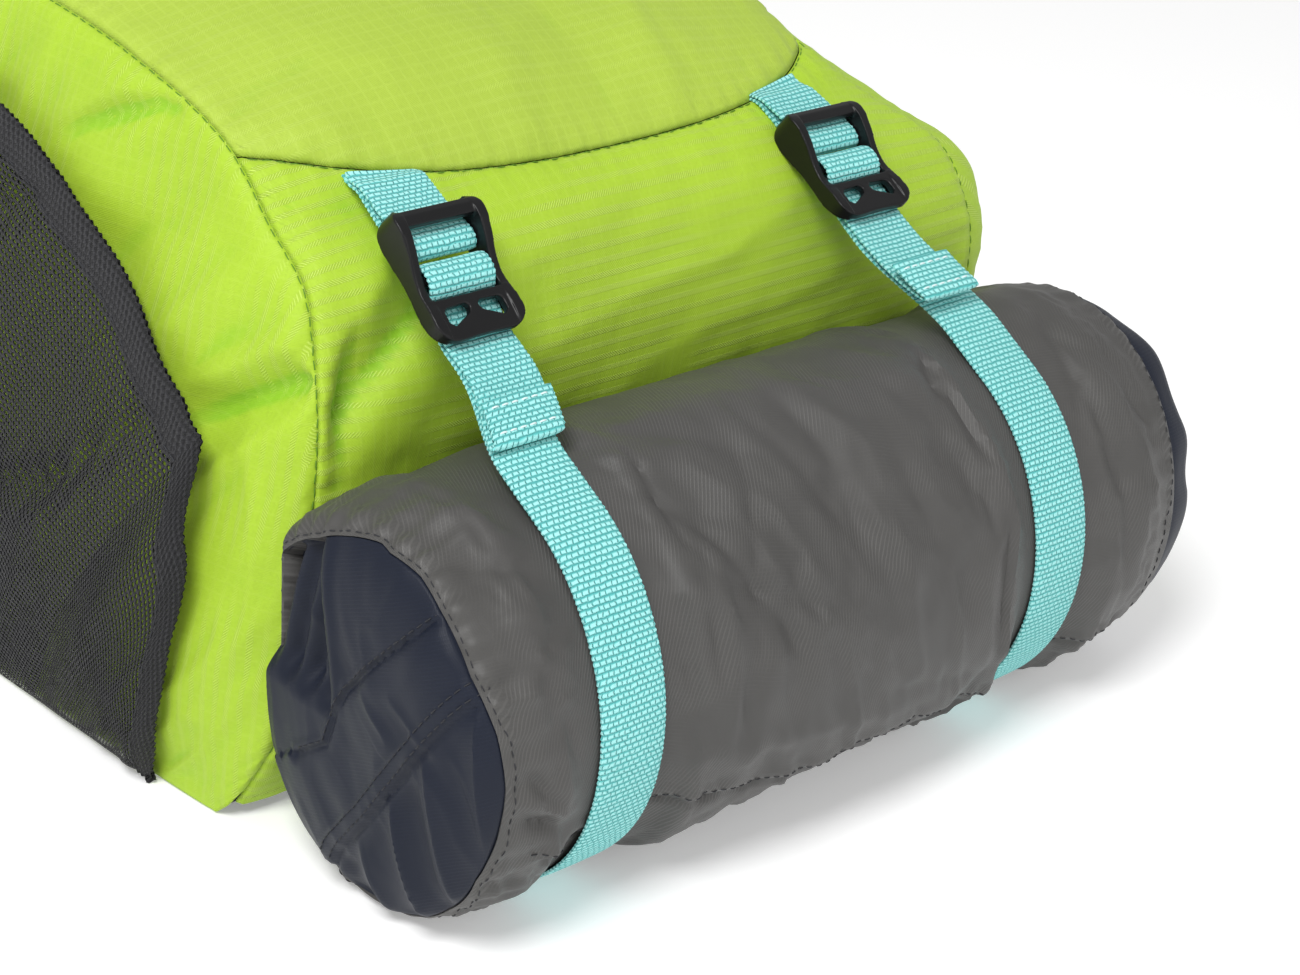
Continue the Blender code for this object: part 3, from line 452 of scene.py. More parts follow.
# Cloth noise and folds


def hashed(i, j, seed):
    value = np.sin(i * 127.1 + j * 311.7 + seed * 74.7) * 43758.5453
    return value - np.floor(value)


def noise(x, y, seed=0):
    """Smooth noise from -1 to 1 over two coordinates."""
    i, j = np.floor(x), np.floor(y)
    u, v = x - i, y - j
    u = u * u * u * (u * (u * 6 - 15) + 10)
    v = v * v * v * (v * (v * 6 - 15) + 10)
    low = hashed(i, j, seed) * (1 - u) + hashed(i + 1, j, seed) * u
    high = hashed(i, j + 1, seed) * (1 - u) + hashed(i + 1, j + 1, seed) * u
    return 2 * (low * (1 - v) + high * v) - 1


def crumple(x, y, size, seed, turn=0.0, stretch=2.0):
    """Soft wrinkles about size apart, drawn out along the direction turn, from -1 to 1."""
    t = math.radians(turn)
    u = (x * math.cos(t) + y * math.sin(t)) / (size * stretch)
    v = (y * math.cos(t) - x * math.sin(t)) / size
    bend = noise(u * 0.6 + 5.2, v * 0.4, seed + 1)
    first = noise(u + 0.5 * bend, v + 0.9 * bend, seed)
    second = noise(u * 2.1 + 3.7, v * 2.1 + bend, seed + 2)
    ridge = 1 - 2.2 * np.abs(first + 0.25 * second)
    return np.clip(ridge, -1.0, 1.0)


def creases(x, y, rows):
    """Sum of the folds at (x, y): each has its middle, its turn in degrees, length, width, depth and lean."""
    total = np.zeros_like(x + y)
    for middle_x, middle_y, turn, length, width, depth, lean in rows:
        t = math.radians(turn)
        dx, dy = (x - middle_x * MM), (y - middle_y * MM)
        along = (dx * math.cos(t) + dy * math.sin(t)) / (length * MM / 2)
        off = (dy * math.cos(t) - dx * math.sin(t)) / (width * MM)
        off = np.where(off > 0, off / (1 + lean), -off / (1 - lean))
        total = total + depth * MM * np.exp(-(along**4)) * np.exp(-(np.abs(off) ** 1.3))
    return total


def normals_of(grid):
    n = np.cross(np.gradient(grid, axis=0), np.gradient(grid, axis=1))
    return n / np.maximum(np.linalg.norm(n, axis=2, keepdims=True), 1e-12)


def outward_normals(grid, facing):
    n = normals_of(grid)
    middle = n[grid.shape[0] // 2, grid.shape[1] // 2]
    return -n if np.dot(middle, facing) < 0 else n


# Meshes


def linked(name, data):
    """A new object in the scene."""
    made = bpy.data.objects.new(name, data)
    bpy.context.scene.collection.objects.link(made)
    return made


def build(name, points, faces, loop_uv, mat, crease=None):
    """One mesh piece in the row frame, riding on the pack, with a UV of metres along the cloth."""
    placed = np.asarray(points, float) + ROW_SHIFT
    placed[:, 2] = np.maximum(placed[:, 2], 0.0)
    mesh = bpy.data.meshes.new(name)
    mesh.from_pydata(placed.tolist(), [], faces)
    layer = mesh.uv_layers.new(name="cloth")
    layer.data.foreach_set("uv", np.asarray(loop_uv, np.float32).ravel())
    mesh.materials.append(mat)
    mesh.shade_smooth()
    if crease is not None:
        mesh.set_sharp_from_angle(angle=math.radians(crease))
    made = linked(name, mesh)
    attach(made, "root")
    return made


def cells(at):
    """The four corners of each cell of a grid of point numbers."""
    return np.stack([at[:-1, :-1], at[1:, :-1], at[1:, 1:], at[:-1, 1:]], axis=-1).reshape(-1, 4)


def cloth_sheet(name, grid, uv, wall, mat, facing):
    """Cloth with an outer face on the grid, an inner face one wall in, and closed edges."""
    n = outward_normals(grid, facing)
    flip = np.dot(normals_of(grid)[grid.shape[0] // 2, grid.shape[1] // 2], facing) < 0
    rows, columns = grid.shape[:2]
    size = rows * columns
    thick = np.asarray(wall, float)[..., None]
    points = np.concatenate([grid.reshape(-1, 3), (grid - n * thick).reshape(-1, 3)])
    at = np.arange(size).reshape(rows, columns)
    quads = cells(at)
    back = quads[:, ::-1] + size
    edge = list(at[0, :]) + list(at[1:, -1]) + list(at[-1, -2::-1]) + list(at[-2:0:-1, 0])
    rim = np.array([(a, b, size + b, size + a) for a, b in zip(edge, edge[1:] + edge[:1])])
    faces = np.concatenate([quads, back, rim])
    if flip:
        faces = faces[:, ::-1]
    flat = np.concatenate([uv.reshape(-1, 2)] * 2)
    return build(name, points, faces.tolist(), flat[faces.ravel()], mat)


def stand_for(node):
    """The piece takes the place of a solid, which is hidden."""
    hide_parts(node)


def cloth_size(grid):
    """Width and length of the cloth laid flat, and its area."""
    length = np.linalg.norm(np.diff(grid, axis=0), axis=2).sum(axis=0).max()
    width = np.linalg.norm(np.diff(grid, axis=1), axis=2).sum(axis=1).max()
    down, across = grid[1:, :-1] - grid[:-1, :-1], grid[:-1, 1:] - grid[:-1, :-1]
    area = np.linalg.norm(np.cross(down, across), axis=2).sum()
    return float(width), float(length), float(area)


def laid_out(grid):
    """Works out the flat size of a sheet, measured along its finished grid, and keeps nothing of it."""
    width, length, area = cloth_size(grid)


def closed_rings(name, rings, mat, uv, crease):
    """A solid through closed rings, each ring a row of points, with a fan over both ends."""
    rows, columns = rings.shape[:2]
    points = np.concatenate([rings.reshape(-1, 3), [rings[0].mean(axis=0), rings[-1].mean(axis=0)]])
    if uv is None:
        uv = np.zeros((rows, columns + 1, 2))
        step = np.linalg.norm(rings - np.roll(rings, 1, axis=1), axis=2)
        step[:, 0] = 0
        close = np.linalg.norm(rings[:, :1] - rings[:, -1:], axis=2)
        run = np.cumsum(step, axis=1)
        uv[:, :, 0] = np.concatenate([run, run[:, -1:] + close], axis=1)
        uv[:, :, 1] = travel(rings.mean(axis=1))[:, None]
    faces, loops = [], []
    for i in range(rows - 1):
        for j in range(columns):
            k = (j + 1) % columns
            faces.append((i * columns + j, i * columns + k, (i + 1) * columns + k, (i + 1) * columns + j))
            loops.append((uv[i, j], uv[i, j + 1], uv[i + 1, j + 1], uv[i + 1, j]))
    last = (rows - 1) * columns
    for j in range(columns):
        k = (j + 1) % columns
        faces += [(rows * columns, k, j), (rows * columns + 1, last + j, last + k)]
        loops += [(uv[0, j], uv[0, j + 1], uv[0, j]), (uv[-1, j], uv[-1, j], uv[-1, j + 1])]
    corner = points[list(faces[(rows // 2) * columns])]
    normal = np.cross(corner[1] - corner[0], corner[2] - corner[0])
    if np.dot(normal, corner.mean(axis=0) - rings[rows // 2].mean(axis=0)) < 0:
        faces = [face[::-1] for face in faces]
        loops = [face[::-1] for face in loops]
    return build(name, points, faces, [place for face in loops for place in face], mat, crease)


class Surface:
    """A finished cloth face that threads and hems can be laid on, by shares of its rows and columns."""

    def __init__(self, grid, facing):
        self.grid = grid
        self.normals = outward_normals(grid, facing)

    def at(self, row, column, lift=0.0):
        rows, columns = self.grid.shape[:2]
        i = np.clip(np.asarray(row, float) * (rows - 1), 0, rows - 1.001)
        j = np.clip(np.asarray(column, float) * (columns - 1), 0, columns - 1.001)
        i, j = np.broadcast_arrays(i, j)
        a, b = i.astype(int), j.astype(int)
        u, v = (i - a)[..., None], (j - b)[..., None]
        found = []
        for field in (self.grid, self.normals):
            low = field[a, b] * (1 - v) + field[a, b + 1] * v
            high = field[a + 1, b] * (1 - v) + field[a + 1, b + 1] * v
            found.append(low * (1 - u) + high * u)
        n = found[1] / np.linalg.norm(found[1], axis=-1, keepdims=True)
        return found[0] + n * lift, n


def blank_piece(name, points, faces):
    """A throw-away object to work a form out on, with its faces turned outward."""
    mesh = bpy.data.meshes.new(name)
    mesh.from_pydata(points, [], faces)
    work = bmesh.new()
    work.from_mesh(mesh)
    bmesh.ops.recalc_face_normals(work, faces=work.faces)
    work.to_mesh(mesh)
    work.free()
    return linked(name, mesh)


# Cloth that is let settle: how much too large it is cut, its pressure, the farthest move and the moments
SETTLE_EXCESS = 0.022
SETTLE_PRESSURE = 0.30
SETTLE_LIMIT = 0.0018
SETTLE_MOMENTS = 22


def settled(grid, held):
    """How far each point of a closed cloth moves when it is filled, held where held is 1.

    The cloth is worked out on every second row and column, and the moves are spread over the rest.
    """
    coarse, grip = grid[::2, ::2], held[::2, ::2]
    rows, columns = coarse.shape[:2]
    at = np.arange(rows * columns).reshape(rows, columns)
    at = np.concatenate([at, at[:, :1]], axis=1)
    quads = cells(at)
    made = blank_piece("settling", coarse.reshape(-1, 3).tolist(), quads.tolist())
    group = made.vertex_groups.new(name="held")
    for index, weight in enumerate(grip.ravel()):
        if weight > 0.01:
            group.add([index], float(weight), "REPLACE")
    cloth = made.modifiers.new("cloth", "CLOTH")
    how = cloth.settings
    how.quality = 6
    how.mass = 0.15
    how.tension_stiffness = how.compression_stiffness = 15.0
    how.shear_stiffness = 6.0
    how.bending_stiffness = 0.4
    how.shrink_min = -SETTLE_EXCESS
    how.vertex_group_mass = "held"
    how.use_pressure = True
    how.uniform_pressure_force = SETTLE_PRESSURE
    how.effector_weights.gravity = 0.0
    cloth.collision_settings.use_collision = False
    cloth.point_cache.frame_start = 1
    cloth.point_cache.frame_end = SETTLE_MOMENTS
    for moment in range(1, SETTLE_MOMENTS + 1):
        bpy.context.scene.frame_set(moment)
    graph = bpy.context.evaluated_depsgraph_get()
    found = np.zeros(rows * columns * 3, np.float32)
    made.evaluated_get(graph).data.vertices.foreach_get("co", found)
    moves = found.reshape(rows, columns, 3).astype(float) - coarse
    bpy.context.scene.frame_set(1)
    bpy.data.objects.remove(made, do_unlink=True)
    far = np.linalg.norm(moves, axis=2, keepdims=True)
    moves = moves * np.minimum(1.0, SETTLE_LIMIT / np.maximum(far, 1e-9)) * (1 - grip[..., None])
    moves = np.concatenate([moves, moves[:, :1]], axis=1)
    for axis in (0, 1):
        places, known = np.arange(grid.shape[axis]) / 2.0, np.arange(moves.shape[axis])
        moves = np.apply_along_axis(lambda run: np.interp(places, known, run), axis, moves)
    return moves


SURFACES = {}


def resampled(points, step):
    """The line with points one step apart."""
    points = np.asarray(points, float)
    way = travel(points)
    count = max(2, int(round(way[-1] / step)) + 1)
    return read_off(np.linspace(0.0, way[-1], count), way, points)


# One stitch, from end to end: places along it, and its rise and width for a thickness of 1
STITCH_PLACES = np.array([0.0, 0.12, 0.5, 0.88, 1.0])
STITCH_RISE = np.array([-0.55, 0.10, 0.42, 0.10, -0.55])
STITCH_WIDTH = np.array([0.30, 0.85, 1.0, 0.85, 0.30])
STITCH_SIDES = 5


def thread_run(points, normals, length, gap, thick):
    """Vertices and faces of stitches laid along a line: each dips into the cloth at both ends."""
    way, sides = travel(points), STITCH_SIDES
    last = len(STITCH_PLACES) - 1
    verts, faces = [], []
    for start in np.arange(0.0, way[-1] - length, length + gap):
        spots = start + length * STITCH_PLACES
        line = read_off(spots, way, points)
        up = read_off(spots, way, normals)
        along = line[-1] - line[0]
        along /= max(np.linalg.norm(along), 1e-9)
        side = np.cross(along, up[2])
        side /= max(np.linalg.norm(side), 1e-9)
        rise = STITCH_RISE * thick
        wide = STITCH_WIDTH * thick / 2
        base = len(verts)
        for k in range(last + 1):
            for m in range(sides):
                t = 2 * math.pi * m / sides
                ring = side * math.cos(t) * wide[k] + up[k] * (math.sin(t) * wide[k] + rise[k])
                verts.append(line[k] + ring)
        for k in range(last):
            for m in range(sides):
                n = (m + 1) % sides
                a = base + k * sides
                faces.append((a + m, a + n, a + sides + n, a + sides + m))
        faces.append(tuple(base + m for m in reversed(range(sides))))
        faces.append(tuple(base + last * sides + m for m in range(sides)))
    return verts, faces


def sew(name, lines, mat, length, gap, thick):
    """One object of all the stitches along the given (points, normals) lines."""
    verts, faces = [], []
    for points, normals in lines:
        found, sides = thread_run(points, normals, length, gap, thick)
        base = len(verts)
        verts += found
        faces += [tuple(base + q for q in f) for f in sides]
    uv = np.zeros((sum(len(f) for f in faces), 2))
    return build(name, verts, faces, uv, mat)


# Shader maths


class Value:
    """A number that varies over a surface: arithmetic on it adds Math nodes."""

    def __init__(self, tree, socket):
        self.tree = tree
        self.socket = socket

    def math(self, operation, *others):
        return self.tree.math(operation, self, *others)

    def __add__(self, other):
        return self.math("ADD", other)

    __radd__ = __add__

    def __sub__(self, other):
        return self.math("SUBTRACT", other)

    def __rsub__(self, other):
        return self.tree.math("SUBTRACT", other, self)

    def __mul__(self, other):
        return self.math("MULTIPLY", other)

    __rmul__ = __mul__

    def __truediv__(self, other):
        return self.math("DIVIDE", other)

    def __rtruediv__(self, other):
        return self.tree.math("DIVIDE", other, self)

    def __pow__(self, other):
        return self.math("POWER", other)

    def __rpow__(self, other):
        return self.tree.math("POWER", other, self)

    def __lt__(self, other):
        return self.math("LESS_THAN", other)

    def __gt__(self, other):
        return self.math("GREATER_THAN", other)

    def __abs__(self):
        return self.math("ABSOLUTE")

    def sine(self):
        return self.math("SINE")

    def part(self):
        return self.math("FRACT")

    def floor(self):
        return self.math("FLOOR")

    def most(self, other):
        return self.math("MAXIMUM", other)

    def least(self, other):
        return self.math("MINIMUM", other)

    def between(self, low, high):
        """0 below low and 1 above high, or the other way round."""
        return self.tree.add(
            "ShaderNodeMapRange",
            {"clamp": True, "interpolation_type": "SMOOTHSTEP"},
            {"Value": self, "From Min": low, "From Max": high},
        )


# Places of a Mix node's factor and two colours among its inputs, and of the colour among its outputs
MIX_INPUTS = (0, 6, 7)
MIX_RESULT = 2


class Finish:
    """A material's node tree."""

    def __init__(self, name):
        self.material = bpy.data.materials.new(name)
        self.material.use_nodes = True
        self.nodes = self.material.node_tree.nodes
        self.links = self.material.node_tree.links
        self.surface = self.nodes["Principled BSDF"]

    def put(self, socket, value):
        """Links a value to the socket, or sets a number or a colour on it."""
        if isinstance(value, Value):
            self.links.new(value.socket, socket)
        else:
            socket.default_value = (*value[:3], 1.0) if socket.type == "RGBA" else value

    def add(self, kind, settings=None, inputs=None, output=0):
        """A node with its settings, then the values or links of its sockets."""
        node = self.nodes.new(kind)
        for name, value in (settings or {}).items():
            setattr(node, name, value)
        for name, value in (inputs or {}).items():
            self.put(node.inputs[name], value)
        return Value(self, node.outputs[output])

    def math(self, operation, *values):
        return self.add("ShaderNodeMath", {"operation": operation}, dict(enumerate(values)))

    def mix(self, share, first, second):
        """A colour between two colours."""
        inputs = dict(zip(MIX_INPUTS, (share, first, second)))
        return self.add("ShaderNodeMix", {"data_type": "RGBA"}, inputs, MIX_RESULT)

    def cloth_place(self):
        """(u, v) along the cloth, in millimetres."""
        place = self.add("ShaderNodeUVMap", {"uv_map": "cloth"})
        u = self.add("ShaderNodeSeparateXYZ", None, {"Vector": place})
        v = Value(self, u.socket.node.outputs["Y"])
        return u * 1000.0, v * 1000.0

    def mottle(self, scale, detail=3.0, roughness=0.55):
        """Noise over the piece itself, from 0 to 1."""
        place = self.add("ShaderNodeTexCoord", output="Object")
        settings = {"Vector": place, "Scale": scale, "Detail": detail, "Roughness": roughness}
        return self.add("ShaderNodeTexNoise", None, settings, output="Fac")

    def bump(self, height, depth):
        """Relief of depth millimetres where the height is 1."""
        inputs = {"Height": height, "Distance": depth * MM, "Strength": 1.0}
        self.put(self.surface.inputs["Normal"], self.add("ShaderNodeBump", None, inputs))

    def finish(self, colour, roughness, **fixed):
        self.put(self.surface.inputs["Base Color"], colour)
        self.put(self.surface.inputs["Roughness"], roughness)
        for name, value in fixed.items():
            self.put(self.surface.inputs[name.replace("_", " ")], value)
        return self.material


def shade(colour, by):
    """The colour made darker or lighter by a factor."""
    return tuple(min(1.0, c * by) for c in colour)


def wave(value, pitch):
    """A sine of the value from 0 to 1, one wave to a pitch."""
    return (value * (2 * math.pi / pitch)).sine() * 0.5 + 0.5


def ripstop_cloth(name, colour, pale, pitch, rows=1.0, pairs=1.0):
    """Ripstop: a fine twill with rows of slanting dashes one way and a grid of thin lines."""
    f = Finish(name)
    u, v = f.cloth_place()
    twill = wave(u + v * 0.6, 0.62)
    off_row = abs((v / pitch).part() - 0.5) * pitch
    slant = abs((v / (pitch * 2)).part() - 0.5) * pitch * 2
    row = off_row.between(0.85, 0.55)
    dashes = row * wave(u + slant * 1.1, 0.80).between(0.30, 0.80)
    off_line = abs((u / pitch).part() - 0.5) * pitch
    lines = off_line.between(0.40, 0.18)
    cross = off_row.between(0.40, 0.18) * (1.0 - rows)
    patches = f.mottle(7.0)
    fade = f.mottle(34.0, 1.0).between(0.30, 0.60)
    specks = f.mottle(1100.0, 2.0, 0.6)
    raised = (dashes * rows * fade).most(lines * pairs * 0.13).most(cross * pairs * 0.16)
    base = f.mix(patches.between(0.25, 0.75), shade(colour, 0.93), shade(colour, 1.05))
    base = f.mix(specks.between(0.40, 0.75) * 0.22, base, shade(colour, 0.72))
    base = f.mix(row * (1.0 - dashes) * rows * fade * 0.26, base, shade(colour, 0.62))
    # Painted shade: the cloth is made a darker, more saturated green where its surface is concave, in creases
    # and hollows.
    crease_shade = f.add("ShaderNodeNewGeometry", output="Pointiness").between(0.500, 0.455)
    base = f.mix(crease_shade * 0.80, base, (colour[0] * 0.62, colour[1] * 0.86, colour[2] * 0.5))
    base = f.mix(raised * 0.50, base, pale)
    f.bump(twill * 0.20 + raised * 0.9 + specks * 0.25, 0.12)
    rough = 0.60 + patches * 0.08 - raised * 0.08
    return f.finish(base, rough, Sheen_Weight=0.06, Sheen_Roughness=0.5, Specular_IOR_Level=0.35)


def mesh_cloth(name, colour, hem_width, pitch):
    """Open knitted mesh: chains of small holes in slanting rows, closed along the doubled hem."""
    f = Finish(name)
    u, v = f.cloth_place()
    hem = hem_width * 1000.0
    p = u + v * 0.42
    q = v - u * 0.20
    row = (q / (pitch * 0.80)).floor()
    across = (p / pitch + row * 0.5).part() - 0.5
    along = (q / (pitch * 0.80)).part() - 0.5
    uneven = f.mottle(180.0, 1.0) * 0.9 + 0.55
    off = (across * across * 7.2 + along * along * 9.8) * uneven
    inside = v.between(hem - 0.4, hem + 0.3)
    hole = off.between(1.0, 0.62) * inside
    fibre = f.mottle(2600.0, 2.0, 0.7)
    patches = f.mottle(10.0)
    strand = off.between(0.7, 2.6)
    braid = wave(p + abs(along) * pitch * 1.4, pitch * 0.5)
    tone = f.mix(strand * 0.65 + braid * 0.35, shade(colour, 0.35), shade(colour, 1.55))
    tone = f.mix(fibre.between(0.5, 0.8) * 0.3, tone, shade(colour, 2.2))
    tone = f.mix((1.0 - inside) * 0.5, tone, shade(colour, 1.7))
    # Painted shade: in the doubled hem the knit's openings are painted near-black, darker than the mesh,
    # instead of being cut out.
    tone = f.mix((1.0 - inside) * off.between(1.3, 0.5) * 0.55, tone, shade(colour, 0.25))
    tone = f.mix(patches.between(0.3, 0.8) * 0.25, tone, shade(colour, 0.65))
    rope = wave(u + v * 0.9, pitch * 1.15) * (1.0 - inside)
    tone = f.mix(rope.between(0.45, 0.05) * (1.0 - inside) * 0.6, tone, shade(colour, 0.35))
    notch = v < wave(u, pitch * 1.15) * 0.50
    f.bump(strand * 0.9 + braid * 0.35 + fibre * 0.2 + rope * 0.9, 0.45)
    f.put(f.surface.inputs["Alpha"], 1.0 - hole.most(notch))
    return f.finish(tone, 0.85, Sheen_Weight=0.05, Sheen_Roughness=0.5, Specular_IOR_Level=0.25)


def webbing_cloth(name, colour, deep, pale, rib_pitch, cell):
    """Woven webbing: rows of grains across it, each row half a grain on from the last."""
    f = Finish(name)
    u, v = f.cloth_place()
    row = (v / rib_pitch).floor()
    drift = f.mottle(420.0, 1.0)
    across = (u / cell + row * 0.5 + drift * 0.80).part()
    along = (v / rib_pitch + drift * 0.40).part()
    wide = 1.0 - abs(across * 2.0 - 1.0) ** 4.5
    tall = 1.0 - abs(along * 2.0 - 1.0) ** 1.9
    grain = wide.least(tall)
    pit = grain.between(0.50, 0.10)
    strands = wave(u + v * 0.25, 0.40)
    fibre = f.mottle(2400.0, 2.0, 0.7)
    patches = f.mottle(22.0)
    # Partly painted light: over the weave's own pattern, raised grain tops are painted toward the pale colour
    # as a painted highlight, and the pits between grains toward the deep colour as painted shade.
    tone = f.mix(grain.between(0.30, 1.0) * (0.55 + strands * 0.45), colour, pale)
    tone = f.mix(pit * 0.56, tone, deep)
    tone = f.mix(patches.between(0.35, 0.8) * 0.18 + fibre * 0.10, tone, shade(colour, 0.8))
    f.bump(grain.between(0.0, 0.9) + strands * 0.12 + fibre * 0.12, 0.42)
    return f.finish(tone, 0.74 + fibre * 0.1, Sheen_Weight=0.10, Sheen_Roughness=0.4, Specular_IOR_Level=0.3)


def moulded_plastic(name, colour, roughness):
    """Satin moulded plastic with a fine grain; its rounded edges are lightened as a painted highlight."""
    f = Finish(name)
    grain = f.mottle(1500.0, 3.0, 0.6)
    blotch = f.mottle(55.0)
    # Painted highlight: convex edges are lightened toward a grey.
    edges = f.add("ShaderNodeNewGeometry", output="Pointiness").between(0.53, 0.62)
    tone = f.mix(edges * 0.35 + blotch.between(0.4, 0.8) * 0.10, colour, shade(colour, 3.2))
    f.bump(grain, 0.02)
    return f.finish(tone, roughness + blotch * 0.10 + grain * 0.05, Specular_IOR_Level=0.28)


def padded_cloth(name, colour, pitch):
    """Dark padded cloth in a plain canvas weave."""
    f = Finish(name)
    u, v = f.cloth_place()
    over = wave(u, pitch) * wave(v, pitch)
    patches = f.mottle(14.0)
    fibre = f.mottle(1500.0, 2.0, 0.7)
    tone = f.mix(over * 0.6 + fibre * 0.3, shade(colour, 0.6), shade(colour, 1.6))
    tone = f.mix(patches.between(0.4, 0.8) * 0.25, tone, shade(colour, 0.7))
    f.bump(over * 0.7 + fibre * 0.3, 0.22)
    return f.finish(tone, 0.86 - over * 0.08, Sheen_Weight=0.05, Sheen_Roughness=0.5, Specular_IOR_Level=0.3)


def fine_cloth(name, colour, pitch, rows, gloss):
    """Thin cloth with patches of fine broken rows in its weave."""
    f = Finish(name)
    u, v = f.cloth_place()
    patch_one = f.mottle(55.0, 1.0).between(0.34, 0.56)
    patch_two = f.mottle(38.0, 1.0).between(0.45, 0.65)
    first = wave(v + u * 0.45, pitch).between(0.50, 0.95) * patch_one
    second = wave(u - v * 0.25, pitch).between(0.60, 0.95) * patch_two
    weave = wave(u + v, 0.40) * wave(u - v, 0.40)
    patches = f.mottle(9.0)
    specks = f.mottle(1500.0, 2.0, 0.65)
    lines = first.most(second * 0.3) * rows
    base = f.mix(patches.between(0.30, 0.78), shade(colour, 0.90), shade(colour, 1.10))
    base = f.mix(specks * 0.30, base, shade(colour, 0.72))
    base = f.mix(lines * 0.36, base, shade(colour, 1.8))
    f.bump(weave * 0.25 + lines * 0.6 + specks * 0.25, 0.08)
    rough = 0.46 + patches * 0.08 - lines * 0.06
    return f.finish(base, rough, Sheen_Weight=0.03, Sheen_Roughness=0.4, Specular_IOR_Level=gloss)


def thread(name, colour):
    """Twisted sewing thread."""
    f = Finish(name)
    twist = f.mottle(2600.0, 2.0, 0.5)
    f.bump(twist, 0.10)
    return f.finish(f.mix(twist, shade(colour, 0.7), shade(colour, 1.25)), 0.7)


# Settings


def colour_property(name, description, default):
    return FloatVectorProperty(
        name=name, description=description, default=default, subtype="COLOR", size=3, min=0.0, max=1.0
    )


def size_property(name, description, default):
    return FloatProperty(
        name=name, description=description, default=default, min=0.0, max=0.1, unit="LENGTH", precision=5
    )


def amount_property(name, description, default, most=2.0):
    return FloatProperty(name=name, description=description, default=default, min=0.0, max=most)


class PackClothSettings(PropertyGroup):
    """Cloth panels of the bag."""

    lime: colour_property("Lime", "Cloth of the lower front and the sides", (0.375, 0.570, 0.028))
    pale_lime: colour_property("Pale lime", "Cloth of the upper front and the lid", (0.385, 0.530, 0.052))
    lime_line: colour_property("Lime lines", "Raised ripstop lines of the green cloth", (0.64, 0.82, 0.17))
    lime_thread: colour_property("Green thread", "Stitching of the green seams", (0.110, 0.250, 0.012))
    cloth_wall: size_property("Cloth wall", "Thickness of the green cloth", 0.0009)
    ripstop_pitch: size_property("Ripstop pitch", "Distance between two ripstop lines", 0.0034)
    seam_dip: size_property("Seam dip", "Depth of the valley along a seam", 0.0019)
    fold_strength: amount_property("Fold strength", "Depth of the folds", 1.0)


class PocketSettings(PropertyGroup):
    """Mesh side pockets."""

    mesh: colour_property("Mesh", "Knitted mesh of the pockets", (0.032, 0.032, 0.035))
    hole_pitch: size_property("Hole pitch", "Distance between two holes of the mesh", 0.00195)
    hem_width: size_property("Hem width", "Width of the doubled hem", 0.0100)
    mesh_wall: size_property("Mesh wall", "Thickness of the mesh", 0.0003)
    hem_wall: size_property("Hem wall", "Thickness of the doubled hem", 0.0014)


class RollSettings(PropertyGroup):
    """Rolled sack under the bag's base."""

    grey: colour_property("Grey", "Cloth round the roll", (0.070, 0.068, 0.065))
    navy: colour_property("Navy", "Cloth of the roll's ends", (0.0092, 0.0126, 0.0245))
    dark_thread: colour_property("Dark thread", "Stitching of the roll", (0.020, 0.021, 0.026))
    row_pitch: size_property("Row pitch", "Distance between two fine rows of the roll's cloth", 0.0010)
    wrinkle_depth: size_property("Wrinkle depth", "Depth of the small wrinkles", 0.0007)


class WebbingSettings(PropertyGroup):
    """Lashing straps, tabs and harness webbing."""

    turquoise: colour_property("Turquoise", "Webbing", (0.170, 0.690, 0.665))
    deep: colour_property("Deep turquoise", "Pits between the grains", (0.012, 0.270, 0.275))
    pale: colour_property("Pale turquoise", "Tops of the grains", (0.480, 0.900, 0.880))
    rib_pitch: size_property("Rib pitch", "Distance between two rows of grains", 0.00150)
    cell: size_property("Cell width", "Width of one grain of a row", 0.00175)
    bow: size_property("Bow", "How much the webbing's middle stands above its edges", 0.0002)


class MouldedSettings(PropertyGroup):
    """Moulded plastic pieces."""

    black: colour_property("Black", "Moulded plastic", (0.0060, 0.0060, 0.0066))
    voxel: size_property("Grain of the form", "Size of the cells that a moulded form is fused in", 0.00030)
    roughness: amount_property("Roughness", "Roughness of the plastic", 0.30)


class HarnessSettings(PropertyGroup):
    """Back panel and shoulder straps."""

    padding: colour_property("Padding", "Cloth of the back panel and shoulder straps", (0.050, 0.050, 0.053))


class StageSettings(PropertyGroup):
    """Floor and light."""

    floor: colour_property("Floor", "Colour of the floor", (0.90, 0.90, 0.90))
    sky: amount_property("Soft light", "Strength of the light from all round", 0.50)
    glow: amount_property("Floor glow", "Light that the floor gives off", 0.26)
    key: amount_property("Key light", "Power of the large lamp, in watts", 22.5, 200.0)
    fill: amount_property("Fill light", "Power of the front lamp, in watts", 4.0, 200.0)


def settings(name):
    return getattr(bpy.context.scene, "pack_" + name)


FINISHES = {}


